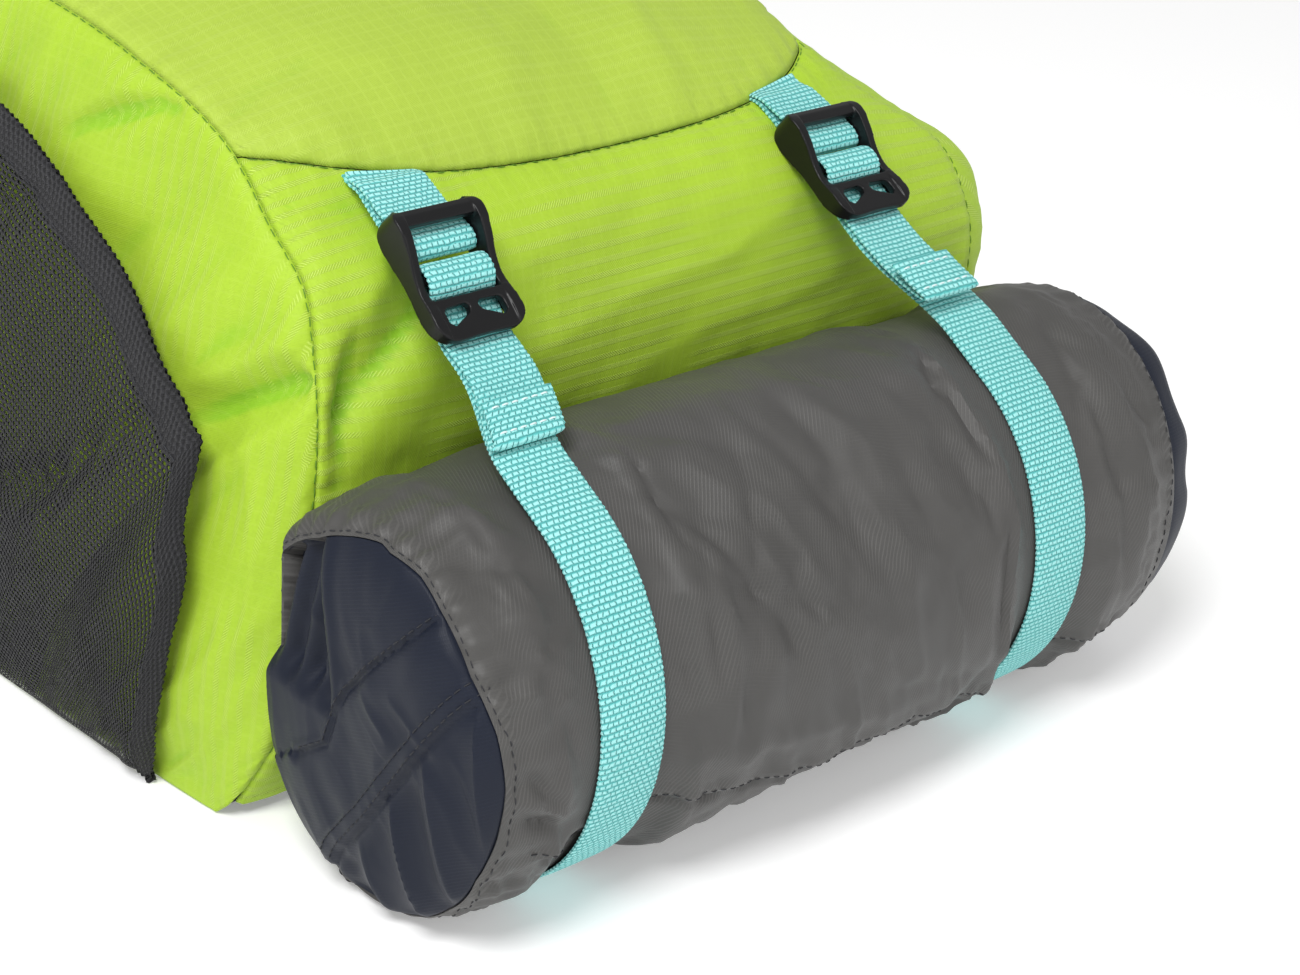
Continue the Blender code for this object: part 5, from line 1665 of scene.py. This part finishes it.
class PACK_OT_gear_roll(Operator):
    """Builds the lashed roll: its grey cloth, its navy ends and their stitching."""

    bl_idname = "pack.gear_roll"
    bl_label = "Gear roll"

    def execute(self, context):
        self.body()
        for name, side in (("left", -1), ("right", 1)):
            self.end(name, side)
        return {"FINISHED"}

    def body(self):
        plain, away, uv, angles = roll_grid()
        out = outward_normals(plain, (0, -1, 0))
        xs = plain[..., 0]
        held = np.clip(strap_hold(xs), 0.0, 1.0)
        held = np.maximum(held, 1 - smooth((away - 0.004) / 0.008))
        low = (plain[..., 2] < ROLL_FLOOR + 0.0008) | (plain[..., 1] > ROLL_BACK_Y - 0.0008)
        held = np.where(low, 1.0, held)
        moves = settled(plain[:, :-1], held[:, :-1])
        moves = np.concatenate([moves, moves[:, :1]], axis=1)
        lift = roll_lift(plain, away, angles)
        calm = 0.35 + 0.65 * smooth((angles - 80.0) / 40.0)
        grid = plain + moves * calm[..., None] + out * lift[..., None]
        grid[..., 1], grid[..., 2] = pressed(grid[..., 1], grid[..., 2])
        grid[:, -1] = grid[:, 0]
        surface = Surface(grid, (0, -1, 0))
        centre = np.array([0.0, 0.0, ROLL_HALF_HEIGHT])
        tucked = []
        for side, ring, normal in ((-1, grid[0], surface.normals[0]), (1, grid[-1], surface.normals[-1])):
            under = ring - normal * 0.0007
            back = under.copy()
            back[:, 0] -= side * 0.006
            back[:, 1:] += (centre[1:] - back[:, 1:]) * 0.06
            flat = back.copy()
            flat[:, 1:] += (centre[1:] - back[:, 1:]) * 0.5
            tucked.append([under, back, flat])
        rings = np.array([*reversed(tucked[0]), *grid, *tucked[1]])[:, :-1]
        full = np.concatenate([uv[:1]] * 3 + [uv] + [uv[-1:]] * 3)
        made = closed_rings("roll_cloth", rings, finish_of("grey"), full, 50.0)
        stand_for("roll_body")
        self.seams(surface, away)

    def seams(self, surface, away):
        """Stitches along the free edges at both ends and along the underside seam."""
        rows, columns = surface.grid.shape[:2]
        picks = np.arange(columns)
        lines = []
        for flip in (False, True):
            run = away[::-1] if flip else away
            zone = run[: len(EDGE_ROWS)]
            places = np.arange(len(EDGE_ROWS))
            at = np.array([np.interp(EDGE_THREAD_INSET, zone[:, k], places) for k in picks]) / (rows - 1)
            lines.append(surface.at(1 - at if flip else at, picks / (columns - 1), 0.00005))
        xs = np.linspace(-0.104, 0.112, 200)
        line = np.array(ROLL_SEAM, float)
        turn = (np.interp(xs * 1000, line[:, 0], line[:, 1]) - 2.6) / 360.0
        row = np.interp(xs, surface.grid[:, SEAM_COLUMN, 0], np.arange(rows)) / (rows - 1)
        lines.append(surface.at(row, turn, 0.0001))
        sew("roll_stitches", lines, finish_of("dark_thread"), 0.0019, 0.0011, 0.00030)

    def end(self, name, side):
        angles = ROLL_ANGLES[None, :]
        outer = edge_share(side, angles) + END_TUCK
        inward = np.linspace(0.0, 1.0, 91 if side < 0 else 49)[:, None]
        share = np.clip(outer * (1 - inward**1.1), 0.0, 1.0)
        tuck = 0.0005 + 0.0013 * smooth((share - outer + 0.037) / 0.010)
        plain = dome(side, share, angles + 0 * share, -tuck)
        if side > 0:
            plain[..., 0] += END_PUFF_RIGHT * smooth((outer - END_TUCK - share) / 0.07)
        y, z = plain[..., 1], plain[..., 2]
        if side < 0:
            relief = end_height(y, z)
        else:
            ripple = np.sin(2 * math.pi * (z + 0.3 * y) / 0.026 + 1.4 * noise(y / 0.02, z / 0.03, 77))
            relief = 0.0010 * ripple + 0.0007 * crumple(y, z, 0.013, 131, 80.0, 2.5)
        fade = 1 - smooth((share - outer + 0.075) / 0.06)
        grid = plain.copy()
        grid[..., 0] = plain[..., 0] + side * relief * fade
        grid[..., 1], grid[..., 2] = pressed(grid[..., 1], grid[..., 2])
        inside = grid[::-1].copy()
        inside[..., 0] -= side * 0.0008
        rings = np.concatenate([inside, grid])[:, :-1]
        uv = np.concatenate([inside, grid])[..., 1:]
        made = closed_rings(f"roll_end_{name}_cloth", rings, finish_of("navy"), uv, 60.0)
        stand_for(f"roll_end_{name}")
        if side < 0:
            self.end_seams(grid)

    def end_seams(self, grid):
        """Stitch rows along both seams of the left end."""
        flat, up = grid.reshape(-1, 3), outward_normals(grid, (-1, 0, 0)).reshape(-1, 3)
        lines = []
        for points, offsets in ((END_UPPER_SEAM, (0.0006,)), (END_LOWER_SEAM, (0.0016, -0.0014))):
            path = resampled(np.array(points, float) * MM, 0.0015)
            slope = directions(path)
            side = square_to(slope)
            for offset in offsets:
                spots = path + side * offset
                near = np.hypot(flat[None, :, 1] - spots[:, :1], flat[None, :, 2] - spots[:, 1:])
                pick = np.argmin(near, axis=1)
                keep = near[np.arange(len(pick)), pick] < 0.002
                found = np.column_stack([flat[pick, 0] - 0.0002, spots])[keep]
                lines.append((found, up[pick][keep]))
        sew("roll_end_stitches", lines, finish_of("dark_thread"), 0.0020, 0.0008, 0.00034)


# Straps and buckles


def arc(centre, radius, start, stop, count, stretch=1.0):
    """Points of (along, up) round a bar, with angles in degrees; stretch draws them out along the band."""
    t = np.radians(np.linspace(start, stop, count))
    return np.column_stack([centre[0] + stretch * radius * np.cos(t), centre[1] + radius * np.sin(t)])


def tab_seam(row):
    """Point on the front seam where a buckle's tab comes out."""
    across = row.root / FRONT_HALF
    return strip_point(np.array(FRONT_SEAM_SHARE + TAB_SEAM_SHARE), np.array(across))


def buckle_start(row):
    """(y, z) of the buckle's upper end."""
    seam = tab_seam(row)
    return seam[1] - row.forward * BUCKLE_LENGTH, seam[2] - row.below * BUCKLE_LENGTH


def in_place(local, row):
    """From the buckle's own (along, up) to the (y, z) of the pack."""
    along, up = buckle_start(row)
    t = math.radians(row.fall)
    y = along - local[:, 0] * math.cos(t) - local[:, 1] * math.sin(t)
    z = up - local[:, 0] * math.sin(t) + local[:, 1] * math.cos(t)
    return np.column_stack([y, z])


def eased(points, step, rounds):
    """The line at an even step with its corners rounded off."""
    line = resampled(points, step)
    for _ in range(rounds):
        line[1:-1] = 0.25 * line[:-2] + 0.5 * line[1:-1] + 0.25 * line[2:]
    return line


def webbing(name, path, width, slant=0.0, widen=1.0, lean=0.0):
    """Woven band along a path, with rounded edges and a slight bow; lean cuts its two ends askew."""
    web = settings("webbing")
    slope = directions(path)
    side = np.array([math.cos(slant), math.sin(slant), 0.0])
    up = np.cross(side, slope)
    up /= np.linalg.norm(up, axis=1, keepdims=True)
    way = travel(path)
    scallop = widen * (1 + 0.018 * np.sin(2 * math.pi * way / web.rib_pitch))
    shares = np.linspace(-1.0, 1.0, 15)
    top = [(u, 0.5 * (1 - abs(u) ** 12 * 0.55)) for u in shares]
    bottom = [(u, -0.5 * (1 - abs(u) ** 12 * 0.55)) for u in shares[::-1]]
    askew = lean * (np.exp(-way / 0.004) - np.exp(-(way[-1] - way) / 0.004))
    rings = []
    for u, v in top + bottom:
        bow = web.bow * (1 - u * u)
        wide = side * (u * width / 2) * scallop[:, None]
        rings.append(path + wide + up * (v * WEB + bow) + slope * (askew * u * width / 2)[:, None])
    rings = np.stack(rings, axis=1)
    across = np.array([u * width / 2 for u, _ in top + bottom] + [top[0][0] * width / 2])
    uv = joined(across[None, :], way[:, None])
    made = closed_rings(name, rings, finish_of("webbing"), uv, 60.0)
    return made


def lashing_line(row):
    """The lashing strap's line: under the roll, over its front, round the buckle's bar, out as the tail."""
    at_buckle, at_roll = row.buckle * BAG_HALF_BACK, row.roll * BAG_HALF_BACK
    angles = -45.0 - np.arange(0, 70) * 2.8
    spread = at_roll + np.array([-0.5, 0.0, 0.5])[:, None] * WEB_WIDTH
    y, z = pressed(*roll_section(spread, angles[None, :]))
    widest = np.argmax(np.hypot(y, z - ROLL_HALF_HEIGHT), axis=0)
    pick = np.arange(len(angles))
    ring = np.column_stack([y[widest, pick], z[widest, pick]])
    slope = directions(ring)
    off = square_to(slope)
    centre = np.array([0.0, ROLL_HALF_HEIGHT])
    off *= np.sign(np.sum(off * (ring - centre), axis=1, keepdims=True))
    wrap = ring + off * (WEB / 2 + 0.0004)
    wrap[:, 1] = np.maximum(wrap[:, 1], WEB / 2)
    behind = ROLL_BACK_Y + WEB / 2 + GAP * 2
    riser = np.array([[behind, STRAP_ROOT_HIGH], [behind, STRAP_ROOT_LOW]])
    lip_end = LIP_START + 0.30 * BUCKLE_LENGTH
    under = in_place(np.array([[lip_end, 0.0], [LIP_START - 0.115 * BUCKLE_LENGTH, 0.0]]), row)
    window = in_place(arc(BAR_MIDDLE, TURN * 1.1, -90.0 - 60.0, -360.0 + 50.0, 24, LOOP_STRETCH), row)
    out_low = WEB + GAP * 1.5
    leave = in_place(np.array([[LIP_START + 0.0005, out_low + GAP], [lip_end, out_low]]), row)
    target = under[0]
    reach = [np.dot(target - p, n) for p, n in zip(wrap, off)]
    last = next((i for i, r in enumerate(reach) if r > 0), len(wrap) - 1)
    wrap = wrap[: last + 1]
    flight = target - wrap[-1]
    flight = flight / np.linalg.norm(flight)
    normal = np.array([-flight[1], flight[0]])
    if normal[1] < 0:
        normal = -normal
    lift = TAIL_LIFT_LEFT if row.side == "left" else TAIL_LIFT_RIGHT
    base = target + normal * out_low
    shares = np.linspace(0.1, 1.0, 8)
    tail = [base - flight * TAIL_LENGTH * k + normal * lift * k**2 for k in shares]
    end = np.array(tail[-1])
    top = normal * (WEB + GAP)
    turn_back = [end - flight * WEB * 0.67 + top / 2, end + top, end + top + flight * TAIL_HEM]
    path = np.vstack([riser, wrap, under, window, leave, np.array(tail), np.array(turn_back)])
    path = eased(path, 0.0007, 3)
    climb = target[1] - wrap[-1][1] - 1.4 * STRAP_SWING
    share = np.clip((path[:, 1] - wrap[-1][1] - STRAP_SWING) / climb, 0.0, 1.0)
    xs = at_roll + (at_buckle - at_roll) * smooth(share)
    return np.column_stack([xs, path])


def tab_line(row):
    """The tab's line: out of the front seam, over the cloth, round the buckle's bar and back under itself."""
    root, at_buckle = row.root * BAG_HALF_BACK, row.buckle * BAG_HALF_BACK
    across = row.root / FRONT_HALF
    start = front_seam(across) - TAB_DROP / OUTLINE_LENGTH
    shares = np.linspace(start, FRONT_SEAM_SHARE + TAB_SEAM_SHARE - 0.002, 9)
    on_cloth = strip_point(shares, np.full(9, across))[:, 1:]
    slope = np.stack(outline_slope(shares), axis=-1)
    out = square_to(slope)
    rise = smooth(np.linspace(0.0, 1.0, 9))[:, None]
    low = on_cloth + out * (WEB / 2 - 0.0006 + (2 * GAP + TAB_LIFT + 0.0006) * rise)
    high = low + out * (WEB + 2 * GAP * rise)
    bend = in_place(arc(BAR_TAB, TURN, 90.0, -90.0, 21, LOOP_STRETCH), row)
    loop = eased(np.vstack([high, bend, low[::-1]]), 0.0006, 2)
    share = np.clip(np.hypot(loop[:, 0] - high[0, 0], loop[:, 1] - high[0, 1]) / (2 * TAB_SWING), 0.0, 1.0)
    return np.column_stack([root + (at_buckle - root) * share, loop])


def hem_stitches(path):
    """Two rows of stitches across the turned tail, on its outer face."""
    way = travel(path)
    lines = []
    for inset in (0.0025, TAIL_HEM - 0.0020):
        spot, later = read_off(way[-1] - inset + np.array([0.0, 0.001]), way, path)
        along = (later - spot) / np.linalg.norm(later - spot)
        up = np.cross(along, (1.0, 0.0, 0.0))
        up *= np.sign(up[2])
        across = np.linspace(-0.44, 0.44, 24)[:, None] * np.array([WEB_WIDTH, 0.0, 0.0])
        lines.append((spot + across + up * (WEB / 2 + 0.0002), np.tile(up, (24, 1))))
    return lines


class PACK_OT_lashing_straps(Operator):
    """Builds the two lashing straps with their turned tails, and the sewn tabs that hold the buckles."""

    bl_idname = "pack.lashing_straps"
    bl_label = "Lashing straps"

    def execute(self, context):
        lines = []
        for row in LASHINGS:
            path = lashing_line(row)
            way = travel(path)
            tail = smooth((way - way[-1] + TAIL_LENGTH + TAIL_HEM - 0.006) / 0.022)
            path[:, 0] -= TAIL_SWAY * tail
            strap = webbing(f"lashing_strap_{row.side}_webbing", path, WEB_WIDTH, 0.0, 1 + TAIL_SPREAD * tail)
            stand_for(f"lashing_strap_{row.side}")
            lean = TAB_LEAN if row.side == "left" else -TAB_LEAN
            tab = webbing(f"buckle_tab_{row.side}_webbing", tab_line(row), WEB_WIDTH, lean=lean)
            stand_for(f"buckle_tab_{row.side}")
            lines += hem_stitches(path)
        sew("hem_stitches", lines, finish_of("pale_thread"), 0.0022, 0.0008, 0.00055)
        return {"FINISHED"}


def prism(outline_points, low, high, standing=False):
    """A closed prism: points in (along, up) swept across, or (across, along) swept up when standing."""
    count = len(outline_points)
    swept = [(t, p) for t in (low, high) for p in outline_points]
    points = [(*p, t) if standing else (t, *p) for t, p in swept]
    faces = [tuple(range(count)), tuple(range(2 * count - 1, count - 1, -1))]
    for j in range(count):
        k = (j + 1) % count
        faces.append((k, j, count + j, count + k))
    return points, faces


def fused(name, pieces, cuts, matrix, voxel, rounds=4, plan=None):
    """One moulded solid: the pieces fused, trimmed to the plan and the cuts taken out, with rounded edges."""
    made = []
    kept = pieces + ([plan] if plan else [])
    for points, faces in kept + cuts:
        made.append(blank_piece("blank", [tuple(map(float, p)) for p in points], faces))
    base = made[0]
    for k, other in enumerate(made[1:], 1):
        step = base.modifiers.new("step", "BOOLEAN")
        step.operation = "UNION" if k < len(pieces) else "INTERSECT" if k < len(kept) else "DIFFERENCE"
        step.solver = "EXACT"
        step.object = other
    grain = base.modifiers.new("grain", "REMESH")
    grain.mode = "VOXEL"
    grain.voxel_size = voxel
    soften = base.modifiers.new("soften", "SMOOTH")
    soften.factor = 0.5
    soften.iterations = rounds
    bpy.context.view_layer.update()
    graph = bpy.context.evaluated_depsgraph_get()
    mesh = bpy.data.meshes.new_from_object(base.evaluated_get(graph))
    for blank in made:
        bpy.data.objects.remove(blank, do_unlink=True)
    mesh.transform(matrix)
    points = np.zeros(len(mesh.vertices) * 3)
    mesh.vertices.foreach_get("co", points)
    faces = [tuple(p.vertices) for p in mesh.polygons]
    bpy.data.meshes.remove(mesh)
    count = sum(len(f) for f in faces)
    return build(name, points.reshape(-1, 3), faces, np.zeros((count, 2)), finish_of("black"))


def buckle_matrix(row):
    """From the buckle's own frame to the pack's."""
    along, up = buckle_start(row)
    t = math.radians(row.fall)
    return Matrix(
        (
            (1.0, 0.0, 0.0, row.buckle * BAG_HALF_BACK),
            (0.0, -math.cos(t), -math.sin(t), along),
            (0.0, -math.sin(t), math.cos(t), up),
            (0.0, 0.0, 0.0, 1.0),
        )
    )


def buckle_plan():
    """The ladder lock's outline from above, as (across, along): rounded corners and a slight waist."""
    half, top, low = BUCKLE_WIDTH / 2, BUCKLE_TOP_CORNER, BUCKLE_LOW_CORNER
    right = [(half - top + x, top - 0.0004 + y) for x, y in arc((0.0, 0.0), top, -90.0, 0.0, 9)]
    for along in np.linspace(top + 0.002, BUCKLE_LENGTH - low - 0.002, 9):
        waist = math.sin(math.pi * (along - top) / (BUCKLE_LENGTH - top - low))
        right.append((half - BUCKLE_WAIST * waist, along))
    right += [(half - low + x, BUCKLE_LENGTH - low + y) for x, y in arc((0.0, 0.0), low, 0.0, 90.0, 9)]
    for across in np.linspace(half - low - 0.001, 0.0008, 8):
        right.append((across, BUCKLE_LENGTH - 0.0003 * float(smooth(1.15 - across / (half - low)))))
    return right + [(-x, a) for x, a in reversed(right)]


def buckle_form():
    """Solids, cuts and plan of a ladder lock in its own frame."""
    half = BUCKLE_WIDTH / 2
    inner = half - BUCKLE_CHEEK
    cheek = spline(CHEEK, 33) * BUCKLE_LENGTH
    ring = [(p[0], p[2]) for p in cheek] + [(p[0], p[1]) for p in cheek[::-1]]
    over = BUCKLE_CHEEK / 2
    span = (-inner - over, inner + over)
    pieces = [prism(ring, -half, -inner), prism(ring, inner, half)]
    pieces.append(prism([tuple(BUCKLE_LENGTH * v for v in p) for p in TOP_BAR], *span))
    for centre in (BAR_TAB, BAR_MIDDLE):
        pieces.append(prism([tuple(p) for p in arc(centre, BUCKLE_BAR / 2, 0.0, 345.0, 24)], *span))
    low, high = LIP_HEIGHT - LIP_THICKNESS / 2, LIP_HEIGHT + LIP_THICKNESS / 2
    end = BUCKLE_LENGTH
    lip = [(LIP_START, low), (end, low + LIP_RISE), (end, high + LIP_RISE), (LIP_START, high)]
    pieces.append(prism(lip, *span))
    cuts = []
    deep = 3 * LIP_THICKNESS
    for hand in (-1, 1):
        hole = [(hand * x * BUCKLE_LENGTH, LIP_START + a * BUCKLE_LENGTH) for x, a in LIP_HOLE]
        cuts.append(prism(hole, LIP_HEIGHT - deep, LIP_HEIGHT + deep, standing=True))
    return pieces, cuts, prism(buckle_plan(), -BUCKLE_LENGTH / 4, BUCKLE_LENGTH / 2, standing=True)


class PACK_OT_ladder_locks(Operator):
    """Builds the two moulded ladder locks."""

    bl_idname = "pack.ladder_locks"
    bl_label = "Ladder locks"

    def execute(self, context):
        for row in LASHINGS:
            pieces, cuts, plan = buckle_form()
            voxel = settings("moulded").voxel
            made = fused(f"buckle_{row.side}_moulding", pieces, cuts, buckle_matrix(row), voxel, 4, plan)
            stand_for(f"buckle_{row.side}")
        return {"FINISHED"}


# Back and harness


class PACK_OT_harness(Operator):
    """Builds the back panel, shoulder straps with their webbing and slides, and the haul loop."""

    bl_idname = "pack.harness"
    bl_label = "Harness"

    def execute(self, context):
        self.back()
        for name, side in (("left", -1), ("right", 1)):
            self.shoulder(name, side)
        self.haul_loop()
        return {"FINISHED"}

    def back(self):
        v = np.linspace(0.012, 0.988, 81)[:, None]
        c = np.sin(np.linspace(-math.pi / 2, math.pi / 2, 55))[None, :]
        inner = back_half(v) - 1.8 * WALL
        x, y = c * inner, back_y(v) + 0 * c
        soft = 0.0008 * crumple(x, y, 0.030, 201, 0.0, 1.6) * smooth((1 - np.abs(c)) * 8)
        z = back_height(v, c) + soft * smooth(v * 14) * smooth((1 - v) * 14)
        grid = joined(x, y, z)
        made = cloth_sheet("back_panel_cloth", grid, grid[..., :2], WALL, finish_of("padding"), (0, 0, -1))
        stand_for("back_panel")
        laid_out(grid)

    def shoulder(self, name, side):
        rows = spline(SHOULDER, 90)
        ys = BAG_BOTTOM_Y + rows[:, 0] * BAG_LENGTH
        xs = side * rows[:, 1] * BAG_HALF_BACK
        wide = rows[:, 2] * PAD_WIDTH / 2
        rises = np.clip(rows[:, 3], 0.0, 1.0) * (BACK_EDGE_Z + BACK_ARCH - PAD_THICKNESS - 2 * GAP)
        t = np.linspace(0.0, 2 * math.pi, 49)[:-1]
        u = np.sign(np.cos(t)) * np.abs(np.cos(t)) ** 0.55
        v = np.sign(np.sin(t)) * np.abs(np.sin(t)) ** 0.75
        heights = PAD_THICKNESS / 2 + rises[:, None] + v[None, :] * PAD_THICKNESS / 2
        rings = joined(xs[:, None] + u[None, :] * wide[:, None], ys[:, None], heights)
        made = closed_rings(f"shoulder_strap_{name}_padding", rings, finish_of("padding"), None, 70.0)
        stand_for(f"shoulder_strap_{name}")
        end = np.array([xs[-1], ys[-1] - WEB_WIDTH / 8])
        foot = np.array([side * SHOULDER_FOOT, BAG_BOTTOM_Y + SHOULDER_FOOT_SHARE * BAG_LENGTH])
        way = foot - end
        length = np.linalg.norm(way)
        slant = math.atan2(way[1], way[0]) + math.pi / 2
        middle = ADJUSTER_SHARE * length
        far = ADJUSTER_SLOT - WEB * 0.83
        near = ADJUSTER_BAR + WEB * 0.67
        outer_edge = (SHOULDER_FOOT + WEB_WIDTH / 2) / BAG_HALF_BACK
        foot_z = back_height(SHOULDER_FOOT_SHARE - OUTLINE[0][0], outer_edge) - WEB / 2 - 6 * GAP
        over = ADJUSTER_LOW + ADJUSTER_THICKNESS + WEB / 2 + 2 * GAP
        stops = []
        for along, z in (
            (0.0, SHOULDER_WEB_Z),
            (middle - far, SHOULDER_WEB_Z),
            (middle - near, over),
            (middle + near, over),
            (middle + far, SHOULDER_WEB_Z),
            (length - WEB_WIDTH, SHOULDER_WEB_Z),
            (length - WEB_WIDTH * 0.2, foot_z),
            (length, foot_z),
        ):
            p = end + way * along / length
            stops.append((p[0], p[1], z))
        band = webbing(f"shoulder_webbing_{name}_band", eased(stops, 0.0009, 2), WEB_WIDTH, slant)
        stand_for(f"shoulder_webbing_{name}")
        self.slide(name, end + way * middle / length, slant)

    def slide(self, name, spot, slant):
        w, l, t = ADJUSTER_HALF_WIDTH, ADJUSTER_HALF_LENGTH, ADJUSTER_THICKNESS
        inner = WEB_WIDTH / 2 + 2 * GAP

        def block(y0, y1, z0, z1, half):
            return prism([(y0, z0), (y1, z0), (y1, z1), (y0, z1)], -half, half)

        cuts = [
            block(ADJUSTER_BAR, ADJUSTER_SLOT, -t, 2 * t, inner),
            block(-ADJUSTER_SLOT, -ADJUSTER_BAR, -t, 2 * t, inner),
        ]
        place = Matrix.Translation(Vector((spot[0], spot[1], ADJUSTER_LOW)))
        matrix = place @ Matrix.Rotation(slant, 4, "Z")
        made = fused(f"shoulder_adjuster_{name}_moulding", [block(-l, l, 0.0, t, w)], cuts, matrix, 0.0004, 3)
        stand_for(f"shoulder_adjuster_{name}")

    def haul_loop(self):
        t = np.radians(np.linspace(0.0, 180.0, 91))
        sewn = strip_point(
            np.linspace(0.90, 0.99, 60), np.array(LOOP_HALF / BAG_HALF_BACK), WALL + GAP + LID_STAND
        )
        beside = (sewn[:, 2] > LOOP_Z) & (sewn[:, 2] < LOOP_Z + WEB_WIDTH)
        base = float(sewn[beside, 1].max()) + GAP / 2
        xs = LOOP_HALF * np.cos(t)
        ys = base + (LOOP_RISE - WEB * 2) * np.sin(t)
        levels = np.linspace(LOOP_Z, LOOP_Z + WEB_WIDTH, 15)
        grid = np.stack([np.column_stack([xs, ys, np.full_like(xs, z)]) for z in levels], axis=1)
        way = travel(grid[:, 0])
        uv = joined(levels[None, :], way[:, None])
        made = cloth_sheet("haul_loop_webbing", grid, uv, WEB, finish_of("webbing"), (0, 1, 0))
        stand_for("haul_loop")
        laid_out(grid)


# Stage


FLOOR_REACH = 6.0
FLOOR_Z = -0.0002
LIGHT_TARGET = (0.0, -0.1, 0.08)


class PACK_OT_stage(Operator):
    """Sets the pale floor, the soft studio light and the camera."""

    bl_idname = "pack.stage"
    bl_label = "Stage"

    def execute(self, context):
        stage = settings("stage")
        scene = context.scene
        scene.view_settings.view_transform = "Standard"
        f = Finish("pale_floor")
        grain = f.mottle(3.0)
        tone = f.mix(grain * 0.15, stage.floor, shade(stage.floor, 0.97))
        mesh = bpy.data.meshes.new("floor")
        signs = ((-1, -1), (1, -1), (1, 1), (-1, 1))
        corners = [(x * FLOOR_REACH, y * FLOOR_REACH, FLOOR_Z) for x, y in signs]
        mesh.from_pydata(corners, [], [(0, 1, 2, 3)])
        glow = {"Emission_Color": (1.0, 1.0, 1.0), "Emission_Strength": stage.glow}
        mesh.materials.append(f.finish(tone, 0.9, **glow))
        floor = linked("floor", mesh)
        world = bpy.data.worlds.new("soft_light")
        world.use_nodes = True
        back = world.node_tree.nodes["Background"]
        back.inputs["Color"].default_value = (1.0, 1.0, 1.0, 1.0)
        back.inputs["Strength"].default_value = stage.sky
        scene.world = world
        self.lamp("key", (-0.95, -0.60, 1.45), 0.7, stage.key)
        self.lamp("fill", (0.1, -1.6, 1.0), 1.1, stage.fill)
        self.camera(scene)
        return {"FINISHED"}

    def lamp(self, name, place, size, power):
        light = bpy.data.lights.new(name, "AREA")
        light.shape = "DISK"
        light.size = size
        light.energy = power
        made = linked(name, light)
        made.location = place
        aim = Vector(LIGHT_TARGET) - Vector(place)
        made.rotation_euler = aim.to_track_quat("-Z", "Y").to_euler()

    def camera(self, scene):
        turn, fall = math.radians(CAMERA_TURN), math.radians(CAMERA_FALL)
        roll = math.radians(CAMERA_ROLL)
        ahead = Vector((math.sin(turn) * math.cos(fall), math.cos(turn) * math.cos(fall), -math.sin(fall)))
        level = ahead.cross(Vector((0, 0, 1))).normalized()
        down = ahead.cross(level)
        right = level * math.cos(roll) + down * math.sin(roll)
        below = down * math.cos(roll) - level * math.sin(roll)
        lens = bpy.data.cameras.new("photo_camera")
        lens.sensor_width = CAMERA_SENSOR
        lens.lens = CAMERA_LENS
        lens.clip_start = 0.01
        camera = linked("photo_camera", lens)
        place = Vector(CAMERA_PLACE) + Vector(ROW_SHIFT)
        columns = (right, -below, -ahead, place)
        camera.matrix_world = Matrix([[c[k] for c in columns] for k in range(3)] + [[0, 0, 0, 1]])
        scene.camera = camera


class PACK_PT_looks(Panel):
    """Lists the pack's pieces and their settings."""

    bl_label = "Pack"
    bl_idname = "PACK_PT_looks"
    bl_space_type = "VIEW_3D"
    bl_region_type = "UI"
    bl_category = "Pack"

    def draw(self, context):
        for group in GROUPS:
            box = self.layout.box()
            box.label(text=group.capitalize())
            held = settings(group)
            for name in held.__annotations__:
                box.prop(held, name)
        for step in STEPS:
            self.layout.operator(step.bl_idname)


GROUPS = {
    "cloth": PackClothSettings,
    "pocket": PocketSettings,
    "roll": RollSettings,
    "webbing": WebbingSettings,
    "moulded": MouldedSettings,
    "harness": HarnessSettings,
    "stage": StageSettings,
}
STEPS = (
    PACK_OT_green_panels,
    PACK_OT_mesh_pockets,
    PACK_OT_gear_roll,
    PACK_OT_lashing_straps,
    PACK_OT_ladder_locks,
    PACK_OT_harness,
    PACK_OT_stage,
)


def register():
    for group, held in GROUPS.items():
        bpy.utils.register_class(held)
        setattr(bpy.types.Scene, "pack_" + group, PointerProperty(type=held))
    for step in STEPS:
        bpy.utils.register_class(step)
    bpy.utils.register_class(PACK_PT_looks)


def unregister():
    bpy.utils.unregister_class(PACK_PT_looks)
    for step in reversed(STEPS):
        bpy.utils.unregister_class(step)
    for group, held in GROUPS.items():
        delattr(bpy.types.Scene, "pack_" + group)
        bpy.utils.unregister_class(held)


def main():
    register()
    for step in STEPS:
        area, name = step.bl_idname.split(".")
        getattr(getattr(bpy.ops, area), name)()


if __name__ == "__main__":
    main()
